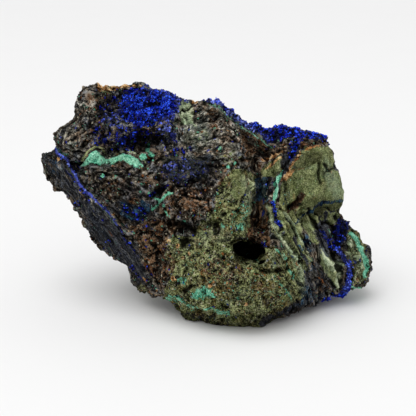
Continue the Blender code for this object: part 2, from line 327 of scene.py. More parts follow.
PAINTS: dict[Mineral, tuple[Paint, ...]] = {
    Mineral.AZURITE: (
        Paint("pocket", Area(((122, 96), (130, 90), (148, 86), (166, 89), (178, 95), (180, 106), (174, 114),
            (164, 119), (152, 123), (146, 126), (138, 124), (134, 128), (126, 122), (118, 114), (121, 105)),
            4.0, 1.3)),
        Paint("pocket_left", Area(((103, 98), (112, 92), (122, 92), (120, 108), (124, 124), (110, 130),
            (98, 122), (96, 108)), 5.0), 0.46),
        Paint("pocket_flecks", Area(((90, 124), (120, 122), (145, 127), (172, 117), (180, 128), (178, 142),
            (150, 144), (120, 150), (90, 148)), 5.0), 0.42),
        Paint("slope_flecks", Area(((160, 152), (190, 142), (194, 148), (166, 158)), 2.5), 0.42),
        Paint("dark_flecks", Area(((158, 162), (185, 154), (208, 158), (216, 172), (190, 186), (164, 180)),
            5.0), 0.42),
        Paint("fleck_groups", Spots(((105, 141, 4), (122, 141, 4), (172, 136, 4), (167, 129, 3))), 0.8),
        Paint("rim_flecks", Streak(((146, 84), (162, 88), (178, 94), (188, 100)), 4.0, 2.0), 0.8),
        Paint("seam", Streak(((54, 149), (61, 156), (67, 159), (72, 166), (76, 176), (83, 187), (87, 193)),
            3.4, 1.2, 0.7)),
        Paint("seam_lower", Streak(((84, 188), (94, 200), (104, 208), (111, 217), (116, 224), (124, 236)),
            2.4, 1.2, 0.3), 0.9),
        Paint("seam_side", Streak(((68, 170), (78, 186), (90, 204), (104, 222)), 1.4, 1.2, 0.5), 0.6),
        Paint("seam_foot", Streak(((124, 238), (134, 252), (144, 266), (152, 276)), 4.0, 3.0), 0.5),
        Paint("flank_nodules", Spots(((76, 204, 3.5), (131, 268, 4.5)), 2.0), 0.5),
        Paint("flank_flecks", Streak(((106, 240), (120, 254), (136, 274), (146, 282)), 6.0, 3.0), 0.3),
        Paint("blue_patch_flecks", Area(((118, 208), (144, 206), (146, 220), (128, 222)), 4.0), 0.42),
        Paint("vug_rim", Streak(((148, 196), (156, 190), (167, 186)), 2.2, 1.2)),
        Paint("vug_foot", Streak(((147, 226), (157, 232)), 1.8, 1.2), 0.8),
        Paint("cave_flecks", Spots(((262, 245, 2.4), (262, 186, 2.4), (259, 192, 1.6))), 0.6),
        Paint("fissure_blue", Area(((288, 144), (300, 142), (296, 154), (288, 160)), 2.0), 0.5),
        Paint("valley_blue_edge", Streak(((270, 172), (273, 180), (271, 190)), 1.6, 1.0), 0.6),
        Paint("valley_blue_vein", Streak(((273, 202), (275, 210), (276, 219), (281, 226)), 3.4, 1.2)),
        Paint("crest", Area(((198, 97), (209, 93), (218, 96), (233, 108), (250, 116), (268, 124),
            (279, 118), (292, 122), (312, 126), (330, 136), (327, 139), (318, 139), (308, 139), (298, 136),
            (288, 137), (278, 141), (270, 143), (260, 134), (240, 121), (226, 111), (214, 102), (204, 101)),
            2.0)),
        Paint("crest_fall", Area(((293, 138), (306, 138), (306, 144), (296, 150), (290, 158), (286, 156)),
            2.0), 0.7),
        Paint("foot_face", Area(((337, 218), (343, 216), (350, 226), (348, 236), (342, 244), (337, 247),
            (332, 240), (332, 230)), 2.0, 0.4), 0.75),
        Paint("foot_vein", Streak(((336, 247), (343, 256), (349, 264), (350, 276), (348, 286), (346, 293)),
            5.4, 1.4)),
        Paint("foot_vein_low", Streak(((346, 294), (336, 297), (326, 301)), 5.0, 2.0), 0.8),
        Paint("foot_strand", Streak(((322, 226), (327, 236), (332, 246), (338, 252)), 2.4, 1.4), 0.7),
    ),
    Mineral.MALACHITE: (
        Paint("crust_underline", Streak(((212, 103), (222, 110), (234, 119), (250, 130), (260, 138),
            (272, 147)), 1.5, 1.3, 1.0), 0.7),
        Paint("slope_crumbs", Spots(((220, 147, 2), (229, 166, 2.4), (236, 162, 1.6)))),
        Paint("shelf", Area(((79, 167), (87, 158), (91, 152), (97, 151), (101, 155), (105, 160), (114, 157),
            (123, 153), (130, 154), (137, 158), (143, 166), (140, 168), (131, 166), (127, 162), (123, 160),
            (116, 162), (112, 165), (105, 163), (99, 165), (90, 163), (84, 167)), 1.0, 0.3)),
        Paint("shelf_crumbs", Spots(((147.7, 148.7, 2.4), (143.4, 156.3, 3.4), (151, 154, 2.4),
            (103, 175, 1.8), (149, 144, 1.6), (152, 160, 1.3)))),
        Paint("shelf_gaps", Spots(((108, 162, 1.5), (112, 164.5, 1.3), (118, 161, 1.2), (95, 164, 1.2),
            (131, 164.5, 1.4), (101, 160, 0.9), (138, 166, 1.2)), 1.0, 1.0), -1.0),
        Paint("seam_top_green", Streak(((53, 147), (60, 151), (66, 156)), 3.0, 2.0), 0.5),
        Paint("vug_strand", Streak(((150, 194), (155, 198), (159, 200), (165, 195), (171, 193)), 3.0, 1.2)),
        Paint("vug_branch", Streak(((159, 200), (155, 206), (151, 210)), 2.0, 1.0)),
        Paint("vug_crumb", Streak(((165, 212), (168, 216)), 2.0, 1.0), 0.8),
        Paint("vug_green", Spots(((150, 194, 3.0), (168, 193, 2.4), (163, 206, 2.0))), 0.8),
        Paint("knob_green", Area(((230, 214), (244, 202), (252, 198), (252, 214), (246, 232), (236, 232)),
            4.0), 0.36),
        Paint("bulge_speckle", Area(((170, 244), (250, 250), (292, 286), (270, 316), (190, 300)), 8.0),
            0.16),
        Paint("bulge_right_line", Streak(((276, 281), (284, 286), (289, 293), (293, 302)), 1.8, 1.4), 0.7),
        Paint("bulge_right_curve", Streak(((277, 249), (286, 260), (294, 272), (300, 282)), 1.5, 1.4),
            0.62),
        Paint("bulge_low_line", Streak(((262, 290), (270, 291), (280, 297)), 1.4, 1.2), 0.5),
        Paint("bulge_patch", Area(((190, 296), (196, 288), (204, 286), (212, 292), (216, 300), (200, 300)),
            3.0), 0.66),
        Paint("bulge_side_patch", Area(((174, 276), (187, 274), (188, 284), (178, 286)), 2.5), 0.5),
        Paint("bulge_band", Streak(((166, 298), (178, 302), (195, 309), (206, 310), (217, 312), (229, 314)),
            2.6, 2.4, 1.0), 0.76),
        Paint("bulge_spots", Spots(((237, 299, 3.0), (226, 258, 2.0), (222, 226, 3.0), (240, 226, 4.0)),
            2.0), 0.6),
        Paint("bulge_edge_line", Streak(((276, 248), (283, 255), (289, 263), (292, 273), (297, 279)),
            1.6, 1.8, 1.0), 0.7),
        Paint("bulge_edge_crumb", Streak(((281, 285), (289, 293), (293, 300)), 1.4, 1.2), 0.55),
        Paint("block_left_green", Streak(((281, 186), (284, 200), (292, 214)), 5.0, 4.0), 0.22),
        Paint("valley_vein", Streak(((282, 169), (279, 177), (275, 184), (276, 192), (274, 202)), 4.0, 1.3),
            0.95),
        Paint("foot_band", Streak(((352, 233), (358, 240), (362, 249), (367, 258), (368, 267), (365, 275)),
            4.2, 1.2)),
        Paint("foot_low_band", Streak(((350, 283), (355, 289), (362, 290)), 3.4, 1.8), 0.8),
    ),
    Mineral.SAGE: (
        Paint("slope_green", Area(((188, 122), (206, 122), (213, 134), (204, 144), (190, 140)), 4.0), 0.36),
        Paint("slope_foot_green", Area(((214, 150), (232, 144), (246, 154), (238, 166), (220, 170)), 4.0),
            0.36),
        Paint("left_foot", Area(((131, 280), (142, 284), (148, 294), (136, 294)), 2.0), 0.6),
        Paint("front_green_flecks", Area(((120, 192), (150, 214), (176, 216), (196, 200), (180, 190),
            (150, 180)), 6.0), 0.22),
        Paint("knob", Area(((234, 168), (246, 169), (256, 172), (259, 183), (258, 197), (253, 203),
            (253, 222), (247, 237), (236, 239), (228, 246), (206, 236), (212, 220), (216, 205), (217, 190),
            (222, 180)), 3.0, 0.6)),
        Paint("cave_bare", Area(((254, 200), (268, 200), (268, 224), (271, 242), (258, 247), (248, 238),
            (252, 224)), 1.5), -1.0),
        Paint("bulge", Area(((166, 238), (186, 236), (206, 226), (232, 240), (270, 244), (284, 252),
            (297, 262), (303, 272), (305, 284), (303, 298), (292, 308), (266, 332), (240, 346), (200, 336),
            (160, 312), (162, 296), (170, 278), (163, 256)), 4.0)),
        Paint("bulge_neck", Area(((186, 234), (204, 216), (216, 200), (222, 240), (204, 246)), 5.0), 0.6),
        Paint("columns", Area(((264, 204), (284, 204), (292, 216), (300, 232), (306, 252), (310, 270),
            (300, 282), (284, 246), (272, 232)), 3.0), 0.85),
        Paint("foot_green", Area(((343, 230), (358, 228), (368, 248), (370, 276), (354, 288), (352, 262)),
            3.0), 0.9),
        Paint("foot_base", Area(((326, 290), (340, 286), (344, 296), (322, 304)), 3.0), 0.3),
    ),
    Mineral.OLIVE: (
        Paint("crown_top_green", Area(((98, 88), (116, 89), (103, 100), (95, 98)), 2.0), 0.45),
        Paint("shelf_rim", Streak(((81, 162), (88, 151), (96, 147), (102, 149), (106, 156)), 2.2, 0.9),
            0.9),
        Paint("knob_brow", Area(((230, 172), (242, 168), (250, 178), (246, 194), (236, 202), (228, 190)),
            3.0), 0.72),
        Paint("block", Area(((292, 162), (303, 149), (318, 144), (330, 146), (336, 165), (345, 182),
            (345, 202), (342, 216), (326, 226), (300, 222), (287, 214), (280, 203), (280, 186), (286, 178)),
            2.0)),
        Paint("valley_olive", Area(((258, 170), (270, 160), (280, 154), (286, 162), (276, 178), (262, 180)),
            2.0), 0.62),
        Paint("column_face", Area(((280, 208), (300, 216), (308, 236), (300, 240), (290, 228)), 3.0), 0.66),
        Paint("column_right", Area(((300, 216), (334, 214), (328, 230), (318, 246), (308, 238)), 3.0), 0.6),
        Paint("column_fill", Area(((268, 206), (284, 208), (296, 228), (300, 244), (290, 248), (278, 234)),
            2.5), 0.7),
        Paint("column_green", Area(((292, 226), (300, 232), (306, 250), (312, 264), (306, 266), (298, 250)),
            2.0), 0.7),
        Paint("shards", Area(((321, 248), (325, 252), (332, 262), (345, 264), (339, 272), (342, 284),
            (338, 291), (329, 276), (322, 264)), 1.0, 0.3)),
    ),
    Mineral.RUST: (
        Paint("crown_brown", Area(((84, 92), (102, 90), (108, 120), (96, 148), (80, 150), (86, 120)), 5.0),
            0.45),
        Paint("slope_brown", Area(((210, 104), (226, 116), (216, 130), (200, 120)), 4.0), 0.5),
        Paint("smooth_hollow", Area(((237, 124), (250, 131), (262, 141), (272, 150), (268, 160), (254, 156),
            (244, 144)), 2.5), 0.85),
        Paint("slab_brown", Area(((44, 158), (58, 164), (66, 186), (54, 186), (44, 172)), 4.0), 0.4),
        Paint("front_brown", Area(((92, 176), (118, 176), (122, 196), (104, 200)), 5.0), 0.56),
        Paint("front_middle_brown", Area(((166, 186), (212, 184), (214, 208), (196, 222), (160, 214)), 6.0),
            0.6),
        Paint("front_rusty_foot", Area(((128, 222), (160, 218), (190, 224), (166, 238), (166, 282),
            (156, 286), (140, 252)), 4.0), 0.9),
        Paint("blue_patch_rust", Spots(((136, 202.5, 3.6), (131, 201, 2.8))), 0.9),
        Paint("knob_mottle", Area(((214, 206), (232, 200), (240, 214), (228, 236), (210, 234)), 5.0), 0.26),
        Paint("knob_rust_ring", Streak(((220, 184), (226, 170), (240, 158), (248, 160)), 4.0, 2.0), 0.7),
        Paint("cave", Area(((253, 200), (268, 200), (268, 224), (271, 244), (258, 250), (246, 240),
            (250, 226)), 2.0)),
        Paint("bulge_brown", Area(((190, 262), (226, 254), (250, 268), (240, 292), (206, 286)), 6.0), 0.46),
        Paint("bulge_left_brown", Area(((160, 250), (172, 246), (178, 262), (172, 280), (158, 284)), 4.0),
            0.5),
        Paint("bulge_brown_right", Area(((246, 276), (280, 282), (286, 300), (256, 306)), 6.0), 0.34),
        Paint("block_low_brown", Area(((306, 196), (322, 190), (330, 200), (312, 210)), 4.0), 0.28),
        Paint("block_dark_streak", Area(((301, 191), (305, 195), (302, 203), (295, 210), (287, 213),
            (289, 206), (296, 200)), 1.4, 0.4)),
        Paint("block_top_brown", Streak(((302, 146), (314, 142), (330, 142)), 3.0, 1.6), 0.8),
        Paint("valley_brown", Area(((246, 150), (262, 152), (262, 172), (252, 172)), 3.0), 0.6),
        Paint("crest_stain", Area(((272, 146), (284, 142), (292, 146), (280, 154), (270, 154)), 2.0), 0.7),
        Paint("column_low_rust", Area(((312, 276), (330, 274), (336, 292), (320, 296)), 3.0), 0.45),
        Paint("foot_brown", Area(((353, 272), (368, 272), (368, 284), (354, 286)), 2.5), 0.45),
    ),
    Mineral.OCHRE: (
        Paint("crown_top_stain", Area(((96, 86), (106, 83), (122, 84), (143, 85), (140, 88), (120, 88),
            (106, 91), (99, 92)), 1.5), 0.75),
        Paint("rust_flecks", Spots(((147.7, 129, 1.3), (57.7, 158.4, 1.8), (162, 176, 1.1),
            (195, 102, 2.4)))),
        Paint("left_point_stain", Spots(((112, 214, 1.2), (98, 120, 1.0), (228, 130, 1.2)))),
        Paint("flank_brown_line", Streak(((122, 222), (134, 240), (148, 264)), 2.0, 1.5), 0.36),
        Paint("left_foot_chip", Streak(((143, 278.7), (146.4, 283.5)), 1.6, 0.8)),
        Paint("left_foot_fleck", Spots(((155.4, 291, 1.6),))),
        Paint("left_foot_line", Streak(((150, 294), (161, 298)), 1.2, 0.8), 0.8),
        Paint("knob_rust", Streak(((226, 186), (230, 174), (240, 162)), 1.6, 1.4), 0.5),
        Paint("bulge_chips", Spots(((168.3, 240.5, 2.0), (177.3, 246.1, 2.2), (188.5, 252.9, 1.6),
            (172.2, 279.2, 3.0), (210.4, 286.5, 2.0), (245, 305, 2.2), (182, 258, 1.4), (226, 284, 1.2),
            (213, 283, 1.4)))),
        Paint("block_edge_yellow", Streak(((330, 178), (338, 188), (340, 198)), 2.4, 2.0), 0.22),
        Paint("block_right_rust", Spots(((333, 172, 1.6), (336, 176, 1.4), (330, 168, 1.2))), 0.5),
        Paint("block_rim", Streak(((300, 151), (292, 163), (288, 172), (282, 180)), 2.8, 1.4), 0.72),
        Paint("block_crease", Streak(((288, 172), (296, 169), (306, 167)), 1.7, 1.0), 0.7),
        Paint("block_rim_foot", Area(((290, 168), (296, 169), (290, 177), (284, 181), (284, 177)), 1.4),
            0.8),
        Paint("block_top_rust", Streak(((306, 149), (314, 145), (322, 144)), 2.6, 1.6), 0.66),
        Paint("valley_rust", Streak(((263, 160), (272, 156), (281, 150)), 3.2, 1.4), 0.85),
        Paint("valley_rust_low", Streak(((266, 169), (274, 162), (281, 157)), 2.6, 1.4), 0.8),
        Paint("foot_rim", Streak(((344, 238), (349, 236), (354, 240), (357, 250)), 1.2, 1.0), 0.5),
    ),
    Mineral.ASH: (
        # Painted highlight: pale grey on the crown's face and left shoulder, where they catch the light.
        Paint("crown_grey_face", Area(((77, 100), (97, 101), (99, 112), (86, 116), (76, 114))), 0.7),
        Paint("crown_pale_spots", Spots(((67, 135, 5), (73, 141, 4), (112, 128, 3))), 0.8),
        Paint("crown_shoulder", Area(((56, 128), (74, 118), (84, 138), (78, 152), (60, 150))), 0.34),
        Paint("striped_slope", Area(((184, 121), (206, 101), (220, 112), (240, 124), (246, 146), (226, 160),
            (196, 152), (182, 140)), 5.0), 0.56),
        Paint("flank_grey_band", Streak(((76, 184), (90, 204), (108, 226), (124, 250)), 6.0, 3.0), 0.52),
        Paint("front_grey", Area(((124, 168), (144, 168), (152, 178), (136, 188), (122, 182)), 5.0), 0.38),
    ),
    Mineral.INK: (
        Paint("slope_shadow", Area(((196, 154), (214, 152), (218, 166), (198, 176), (172, 184), (160, 168)),
            5.0), 0.6),
        Paint("left_slab", Area(((42, 150), (54, 147), (74, 172), (98, 206), (72, 197), (60, 194),
            (48, 180), (41, 160)), 3.0), 0.6),
        Paint("flank", Area(((72, 196), (100, 206), (116, 224), (138, 256), (152, 280), (133, 290),
            (131, 272), (110, 257), (98, 247), (84, 222)), 4.0), 0.85),
        Paint("blue_patch_shadow", Area(((112, 204), (130, 197), (150, 202), (152, 214), (142, 228),
            (126, 226), (113, 215)), 4.0), 0.6),
        Paint("blue_patch_light", Spots(((136, 202.5, 3.6), (131, 201, 2.8))), -1.0),
        Paint("bulge_dark", Area(((180, 246), (226, 250), (262, 278), (236, 302), (196, 284)), 8.0), 0.22),
        # Painted shade: the dark rock tone laid under the bulge's foot.
        Paint("bulge_foot_shade", Area(((166, 302), (200, 314), (240, 322), (240, 332), (196, 326)), 5.0),
            0.4),
        Paint("bulge_right_foot", Streak(((262, 324), (280, 314), (300, 306)), 8.0, 3.0), 0.7),
        Paint("block_foot_shadow", Area(((314, 206), (328, 201), (343, 202), (342, 217), (322, 221)), 3.0),
            0.36),
        Paint("block_low_stripe", Streak(((316, 220), (326, 213), (340, 210)), 2.0, 1.6), 0.8),
        Paint("fissure", Area(((288, 144), (304, 146), (296, 154), (286, 172), (280, 172), (282, 156)),
            2.0), 0.9),
        # Painted shade: the dark rock tone laid in the gaps between the column ribs.
        Paint("column_gap_near", Streak(((274, 212), (279, 226), (287, 240), (298, 254), (306, 274)),
            1.6, 1.2), 0.7),
        Paint("column_gap_far", Streak(((284, 212), (292, 226), (298, 244), (306, 262), (312, 282)),
            2.0, 1.4), 0.8),
        Paint("column_dark", Area(((304, 262), (322, 262), (332, 290), (322, 304), (296, 312), (304, 286)),
            3.0), 0.5),
        Paint("column_grey", Area(((313, 220), (328, 220), (334, 240), (330, 258), (322, 256)), 2.5), 0.8),
        Paint("foot_far_rim", Streak(((362, 236), (368, 246), (373, 260)), 3.0, 1.6), 0.6),
    ),
    Mineral.TEAL: (
        Paint("slab_green", Area(((46, 156), (55, 158), (60, 176), (49, 174)), 3.0), 0.5),
        Paint("blue_patch", Area(((118, 205), (130, 201), (146, 202), (149, 212), (141, 222), (127, 222),
            (117, 216)), 4.0), 0.72),
        Paint("blue_patch_gap", Spots(((136, 202.5, 3.6), (131, 201, 2.8))), -1.0),
        Paint("cave_blue", Area(((256, 178), (270, 178), (268, 202), (256, 203)), 2.0), 0.9),
        Paint("bulge_foot_stain", Streak(((168, 302), (190, 314), (214, 320)), 4.0, 3.0), 0.4),
        Paint("bulge_right_teal", Area(((284, 314), (300, 303), (306, 284), (314, 290), (312, 304)), 3.0),
            0.6),
        Paint("block_stripe", Streak(((308, 214), (317, 207), (328, 203), (342, 201)), 3.6, 1.6), 0.9),
        # Painted shade in a dark teal, partly the block's own teal, darkening the block's left side.
        Paint("block_left_teal_shade", Area(((281, 186), (290, 184), (296, 206), (290, 216), (283, 206)), 4.0),
            0.3),
        Paint("block_low_streak", Streak(((296, 224), (306, 214), (314, 210)), 2.4, 1.6), 0.8),
        Paint("column_blue", Area(((300, 234), (310, 235), (315, 252), (307, 257), (301, 246)), 2.5), 0.66),
        Paint("column_blue_middle", Area(((302, 252), (308, 250), (317, 264), (323, 280), (315, 284),
            (307, 268)), 2.5), 0.42),
    ),
    Mineral.CHALK: (
        Paint("pale_green_patch", Area(((176, 101), (189, 99), (194, 112), (192, 124), (182, 125),
            (177, 113)), 2.4, 0.8), 0.86),
        Paint("slope_pale", Area(((190, 120), (204, 122), (210, 132), (200, 138), (190, 132)), 4.0), 0.36),
        Paint("shelf_far_rim", Streak(((113, 155), (123, 150.5), (133, 150.5), (141, 155), (147, 165)),
            1.8, 0.9), 0.9),
        # Painted highlight: the pale chalk tone along the knob's lit right edge.
        Paint("knob_edge_pale", Streak(((249, 175), (256, 186), (256, 197), (251, 204), (251, 214)),
            4.0, 2.5), 0.5),
        Paint("cave_flap", Area(((263, 258), (271, 248), (282, 250), (289, 262), (276, 268), (264, 267)),
            2.5), 0.5),
        Paint("bulge_rim", Streak(((285, 248), (293, 257), (299, 268), (304, 282), (304, 296)), 5.0, 3.0),
            0.48),
        Paint("bulge_white_bits", Spots(((226, 303, 1.8), (231, 302, 1.2), (214, 283, 1.2),
            (253, 322, 1.6)))),
        Paint("block_ridge", Streak(((322, 150), (328, 162), (336, 178), (340, 196)), 5.0, 4.0), 0.3),
        Paint("column_edge_near", Streak(((268, 206), (273, 222), (280, 236), (290, 250)), 3.0, 1.1)),
        Paint("column_edge_middle", Streak(((287, 244), (296, 255), (301, 268), (304, 280)), 3.4, 1.1)),
        Paint("column_edge_far", Streak(((284, 212), (292, 222), (298, 236), (306, 250), (313, 262)),
            2.4, 1.1), 0.9),
        Paint("shard_near", Area(((321, 249), (326, 256), (334, 264), (344, 265), (337, 271), (331, 272),
            (324, 262)), 0.9, 0.3)),
        Paint("shard_far", Area(((336, 274), (342, 273), (341, 284), (338, 291), (334, 283)), 0.9, 0.3)),
        Paint("foot_curls", Streak(((353, 284), (356, 272), (363, 268), (366, 276), (360, 284)), 1.8, 1.2),
            0.8),
        Paint("foot_nodules", Spots(((350.4, 244, 4.5), (347, 254, 3.4), (358, 258, 4.0), (361, 266, 4.0)),
            2.0), 0.8),
    ),
    # Painted shade: black laid along the block's cracks and in rings round the foot's raised nodules.
    Mineral.PIT_SHADE: (
        Paint("block_cracks", Streak(((320, 162), (318, 172), (320, 185)), 2.4, 1.2), 0.9),
        Paint("block_cross", Streak(((326, 163), (329, 171), (334, 167)), 2.4, 0.8)),
        Paint("block_cross_bar", Streak(((325, 174), (330, 169)), 2.2, 0.8)),
        Paint("block_fine_crack", Streak(((305, 159), (304, 168)), 1.6, 0.8), 0.6),
        Paint("block_side_crack", Streak(((324, 172), (326, 182)), 1.6, 0.8), 0.7),
        Paint("block_streak_pit", Streak(((301, 196), (297, 204), (290, 210)), 3.4, 1.6), 0.8),
        Paint("foot_nodule_rings", Spots(((350.4, 244, 5.0), (347, 254, 4.0), (358, 258, 4.8),
            (361, 266, 4.8)), 1.0), 0.8),
        Paint("foot_nodule_tops", Spots(((350.4, 244, 3.8), (347, 254, 3.0), (358, 258, 3.6),
            (361, 266, 3.6)), 1.0), -1.0),
    ),
    # Painted sheen, partly the crystals' own bright blue, over the pocket, the crest, the veins and the seam.
    Mineral.GLOW: (
        Paint("pocket_blue_and_sheen", Area(((118, 92), (150, 88), (176, 96), (172, 112), (146, 122), (124, 116)),
            8.0)),
        Paint("crest_blue_and_sheen", Streak(((200, 95), (226, 103), (250, 118), (268, 125), (281, 122), (300, 127),
            (322, 134)), 8.0, 5.0), 0.65),
        Paint("vein_blue_and_sheen", Streak(((336, 247), (349, 264), (350, 276), (346, 293), (326, 301)), 10.0, 3.0),
            0.8),
        Paint("valley_blue_and_sheen", Streak(((273, 202), (276, 219), (281, 226)), 8.0, 3.0), 0.85),
        Paint("seam_blue_and_sheen", Streak(((54, 149), (67, 159), (76, 176), (87, 193)), 8.0, 3.0), 0.8),
    ),
    # Painted shade: regions darkened where the stone lies in shade.
    Mineral.PAINTED_SHADE: (
        Paint("pocket_side_shade", Area(((98, 94), (114, 92), (117, 108), (110, 122), (96, 116)), 4.0), 0.8),
        Paint("pocket_foot_shade", Area(((94, 124), (120, 127), (148, 129), (178, 126), (178, 140),
            (150, 150), (98, 148)), 4.0), 0.45),
        Paint("slope_foot_shade", Area(((160, 162), (196, 153), (220, 158), (216, 182), (180, 190),
            (156, 180)), 5.0), 0.85),
        Paint("front_shade", Area(((96, 180), (150, 182), (166, 200), (160, 222), (118, 226), (100, 202)),
            6.0), 0.6),
        Paint("block_top_shade", Area(((292, 162), (304, 151), (323, 150), (325, 158), (317, 163),
            (304, 166), (291, 171)), 1.6, 0.3), 0.85),
        Paint("block_low_shade", Area(((304, 204), (326, 198), (344, 202), (342, 218), (322, 226),
            (300, 222)), 4.0), 0.6),
        Paint("block_side_shade", Streak(((284, 184), (286, 200), (294, 216)), 7.0, 5.0), 0.4),
        Paint("valley_shade", Area(((256, 174), (272, 172), (270, 204), (256, 206)), 3.0), 0.3),
        Paint("flank_shade", Area(((92, 226), (110, 236), (134, 268), (132, 288), (110, 262)), 4.0), 0.3),
        Paint("base_shade", Streak(((158, 305), (190, 318), (226, 327), (264, 326), (296, 312), (340, 300)),
            8.0, 4.0), 0.9),
        Paint("hollow_shade", Area(((240, 128), (262, 142), (270, 152), (256, 156), (244, 142)), 3.0), 0.5),
        Paint("crest_low_shade", Streak(((226, 114), (250, 128), (270, 142), (296, 136), (326, 140)),
            3.6, 2.6), 0.5),
        Paint("foot_face_shade", Area(((334, 220), (344, 216), (350, 228), (346, 240), (336, 244),
            (330, 234)), 2.0), 0.9),
    ),
    # Painted highlight, partly a paler tone: regions lightened where the stone and its crystals catch the
    # light.
    Mineral.PALE_AND_HIGHLIGHT: (
        Paint("patch_pale", Area(((178, 103), (189, 101), (192, 112), (190, 122), (183, 122)), 2.4), 0.6),
        Paint("cave_blue_pale", Streak(((264, 180), (263, 190), (266, 200)), 4.0, 2.0), 0.45),
        Paint("knob_pale", Area(((243, 176), (256, 182), (258, 200), (250, 214), (243, 204)), 4.0), 0.5),
        Paint("block_pale", Area(((326, 154), (336, 172), (345, 186), (346, 202), (335, 199), (327, 182),
            (324, 166)), 2.5, 0.4), 0.75),
        Paint("block_crease_pale", Streak(((292, 172), (304, 168), (318, 165)), 1.6, 1.2), 0.5),
        Paint("bulge_rim_pale", Streak(((288, 250), (297, 262), (303, 278), (303, 292)), 6.0, 4.0), 0.4),
        Paint("bulge_top_pale", Area(((196, 232), (222, 226), (236, 238), (214, 246), (196, 244)), 4.0),
            0.3),
        Paint("slope_top_pale", Area(((186, 122), (208, 120), (214, 140), (196, 148), (184, 138)), 5.0),
            0.4),
        Paint("seam_pale", Streak(((54, 149), (67, 159), (76, 176), (94, 200), (116, 224)), 2.4, 1.6, 0.9)),
        Paint("pocket_rim_pale", Streak(((142, 86), (156, 87), (170, 92), (179, 98), (180, 108), (173, 118),
            (166, 120)), 4.0, 3.0), 0.5),
        Paint("pocket_low_pale", Area(((104, 112), (120, 112), (126, 126), (112, 130), (102, 124)), 4.0),
            0.3),
        Paint("pocket_far_pale", Area(((160, 122), (176, 120), (180, 134), (168, 140), (158, 130)), 3.0),
            0.45),
        Paint("crest_pale", Streak(((198, 97), (208, 97), (216, 103), (226, 112), (240, 121), (256, 132),
            (266, 139)), 5.0, 3.0), 0.8),
        Paint("shelf_pale", Streak(((86, 162), (95, 155), (104, 162), (122, 157), (138, 163)), 5.0, 3.0),
            0.9),
        Paint("fleck_pale", Area(((160, 160), (190, 152), (208, 160), (206, 176), (172, 178)), 5.0), 0.35),
        Paint("vein_pale", Streak(((338, 250), (349, 266), (350, 278), (346, 292)), 4.0, 2.0), 0.45),
        Paint("columns_pale", Streak(((266, 206), (276, 232), (292, 252), (302, 272), (303, 290)),
            7.0, 4.0), 0.5),
        Paint("shards_pale", Area(((320, 247), (328, 254), (345, 264), (342, 290), (334, 286), (322, 264)),
            2.0), 0.5),
        Paint("foot_pale", Area(((346, 236), (358, 238), (366, 254), (364, 276), (352, 270)), 4.0), 0.4),
    ),
}

# Where the blue seam keeps a clean edge, with few crystals on it.
SEAM_LINE = Streak(((52, 147), (67, 159), (76, 176), (94, 201), (116, 226), (134, 252), (154, 282)), 9.0, 2.0)

NUDGES = (
    Nudge("crown_left", Area(((44, 116), (74, 110), (72, 132), (60, 146), (44, 146)), 6.0),
        (0.7, 0.0, -0.3)),
    Nudge("crown_top", Area(((92, 72), (130, 72), (130, 92), (94, 96)), 5.0), (0.0, 0.0, -0.8)),
    Nudge("crown_slope", Area(((146, 74), (190, 84), (188, 104), (146, 92)), 5.0), (0.0, 0.0, -1.1)),
    Nudge("crest_peak", Area(((196, 86), (226, 88), (236, 108), (208, 114)), 5.0), (1.4, 0.0, -0.8)),
    Nudge("crest_dip", Area(((230, 96), (252, 104), (252, 128), (232, 122)), 5.0), (0.0, 0.0, -1.6)),
    Nudge("crest", Area(((256, 108), (320, 112), (318, 146), (258, 140)), 5.0), (0.0, 0.0, -1.1)),
    Nudge("flank_step", Area(((58, 192), (72, 190), (76, 206), (62, 206)), 3.0), (1.6, 0.0, 0.0)),
    Nudge("slab", Area(((36, 152), (50, 150), (62, 190), (52, 196), (38, 176)), 4.0), (-0.5, 0.0, 0.0)),
    Nudge("flank", Area(((76, 206), (92, 204), (120, 256), (108, 264), (82, 232)), 5.0), (-0.8, 0.0, -0.4)),
    Nudge("left_foot", Area(((126, 296), (150, 294), (200, 314), (200, 334), (126, 322)), 5.0),
        (-0.2, 4.0, 0.4)),
    Nudge("front_foot", Area(((199, 318), (276, 316), (276, 348), (199, 348)), 5.0), (0.0, 6.0, 0.2)),
    Nudge("right_base", Area(((274, 308), (344, 290), (360, 294), (358, 316), (276, 336)), 5.0),
        (0.0, 1.0, 2.2)),
    Nudge("right_foot", Area(((356, 292), (374, 288), (374, 312), (344, 312)), 4.0), (-1.4, 1.4, 0.0)),
    Nudge("right_shoulder", Area(((346, 212), (376, 214), (374, 244), (356, 244)), 5.0), (-1.5, 0.0, -0.6)),
)

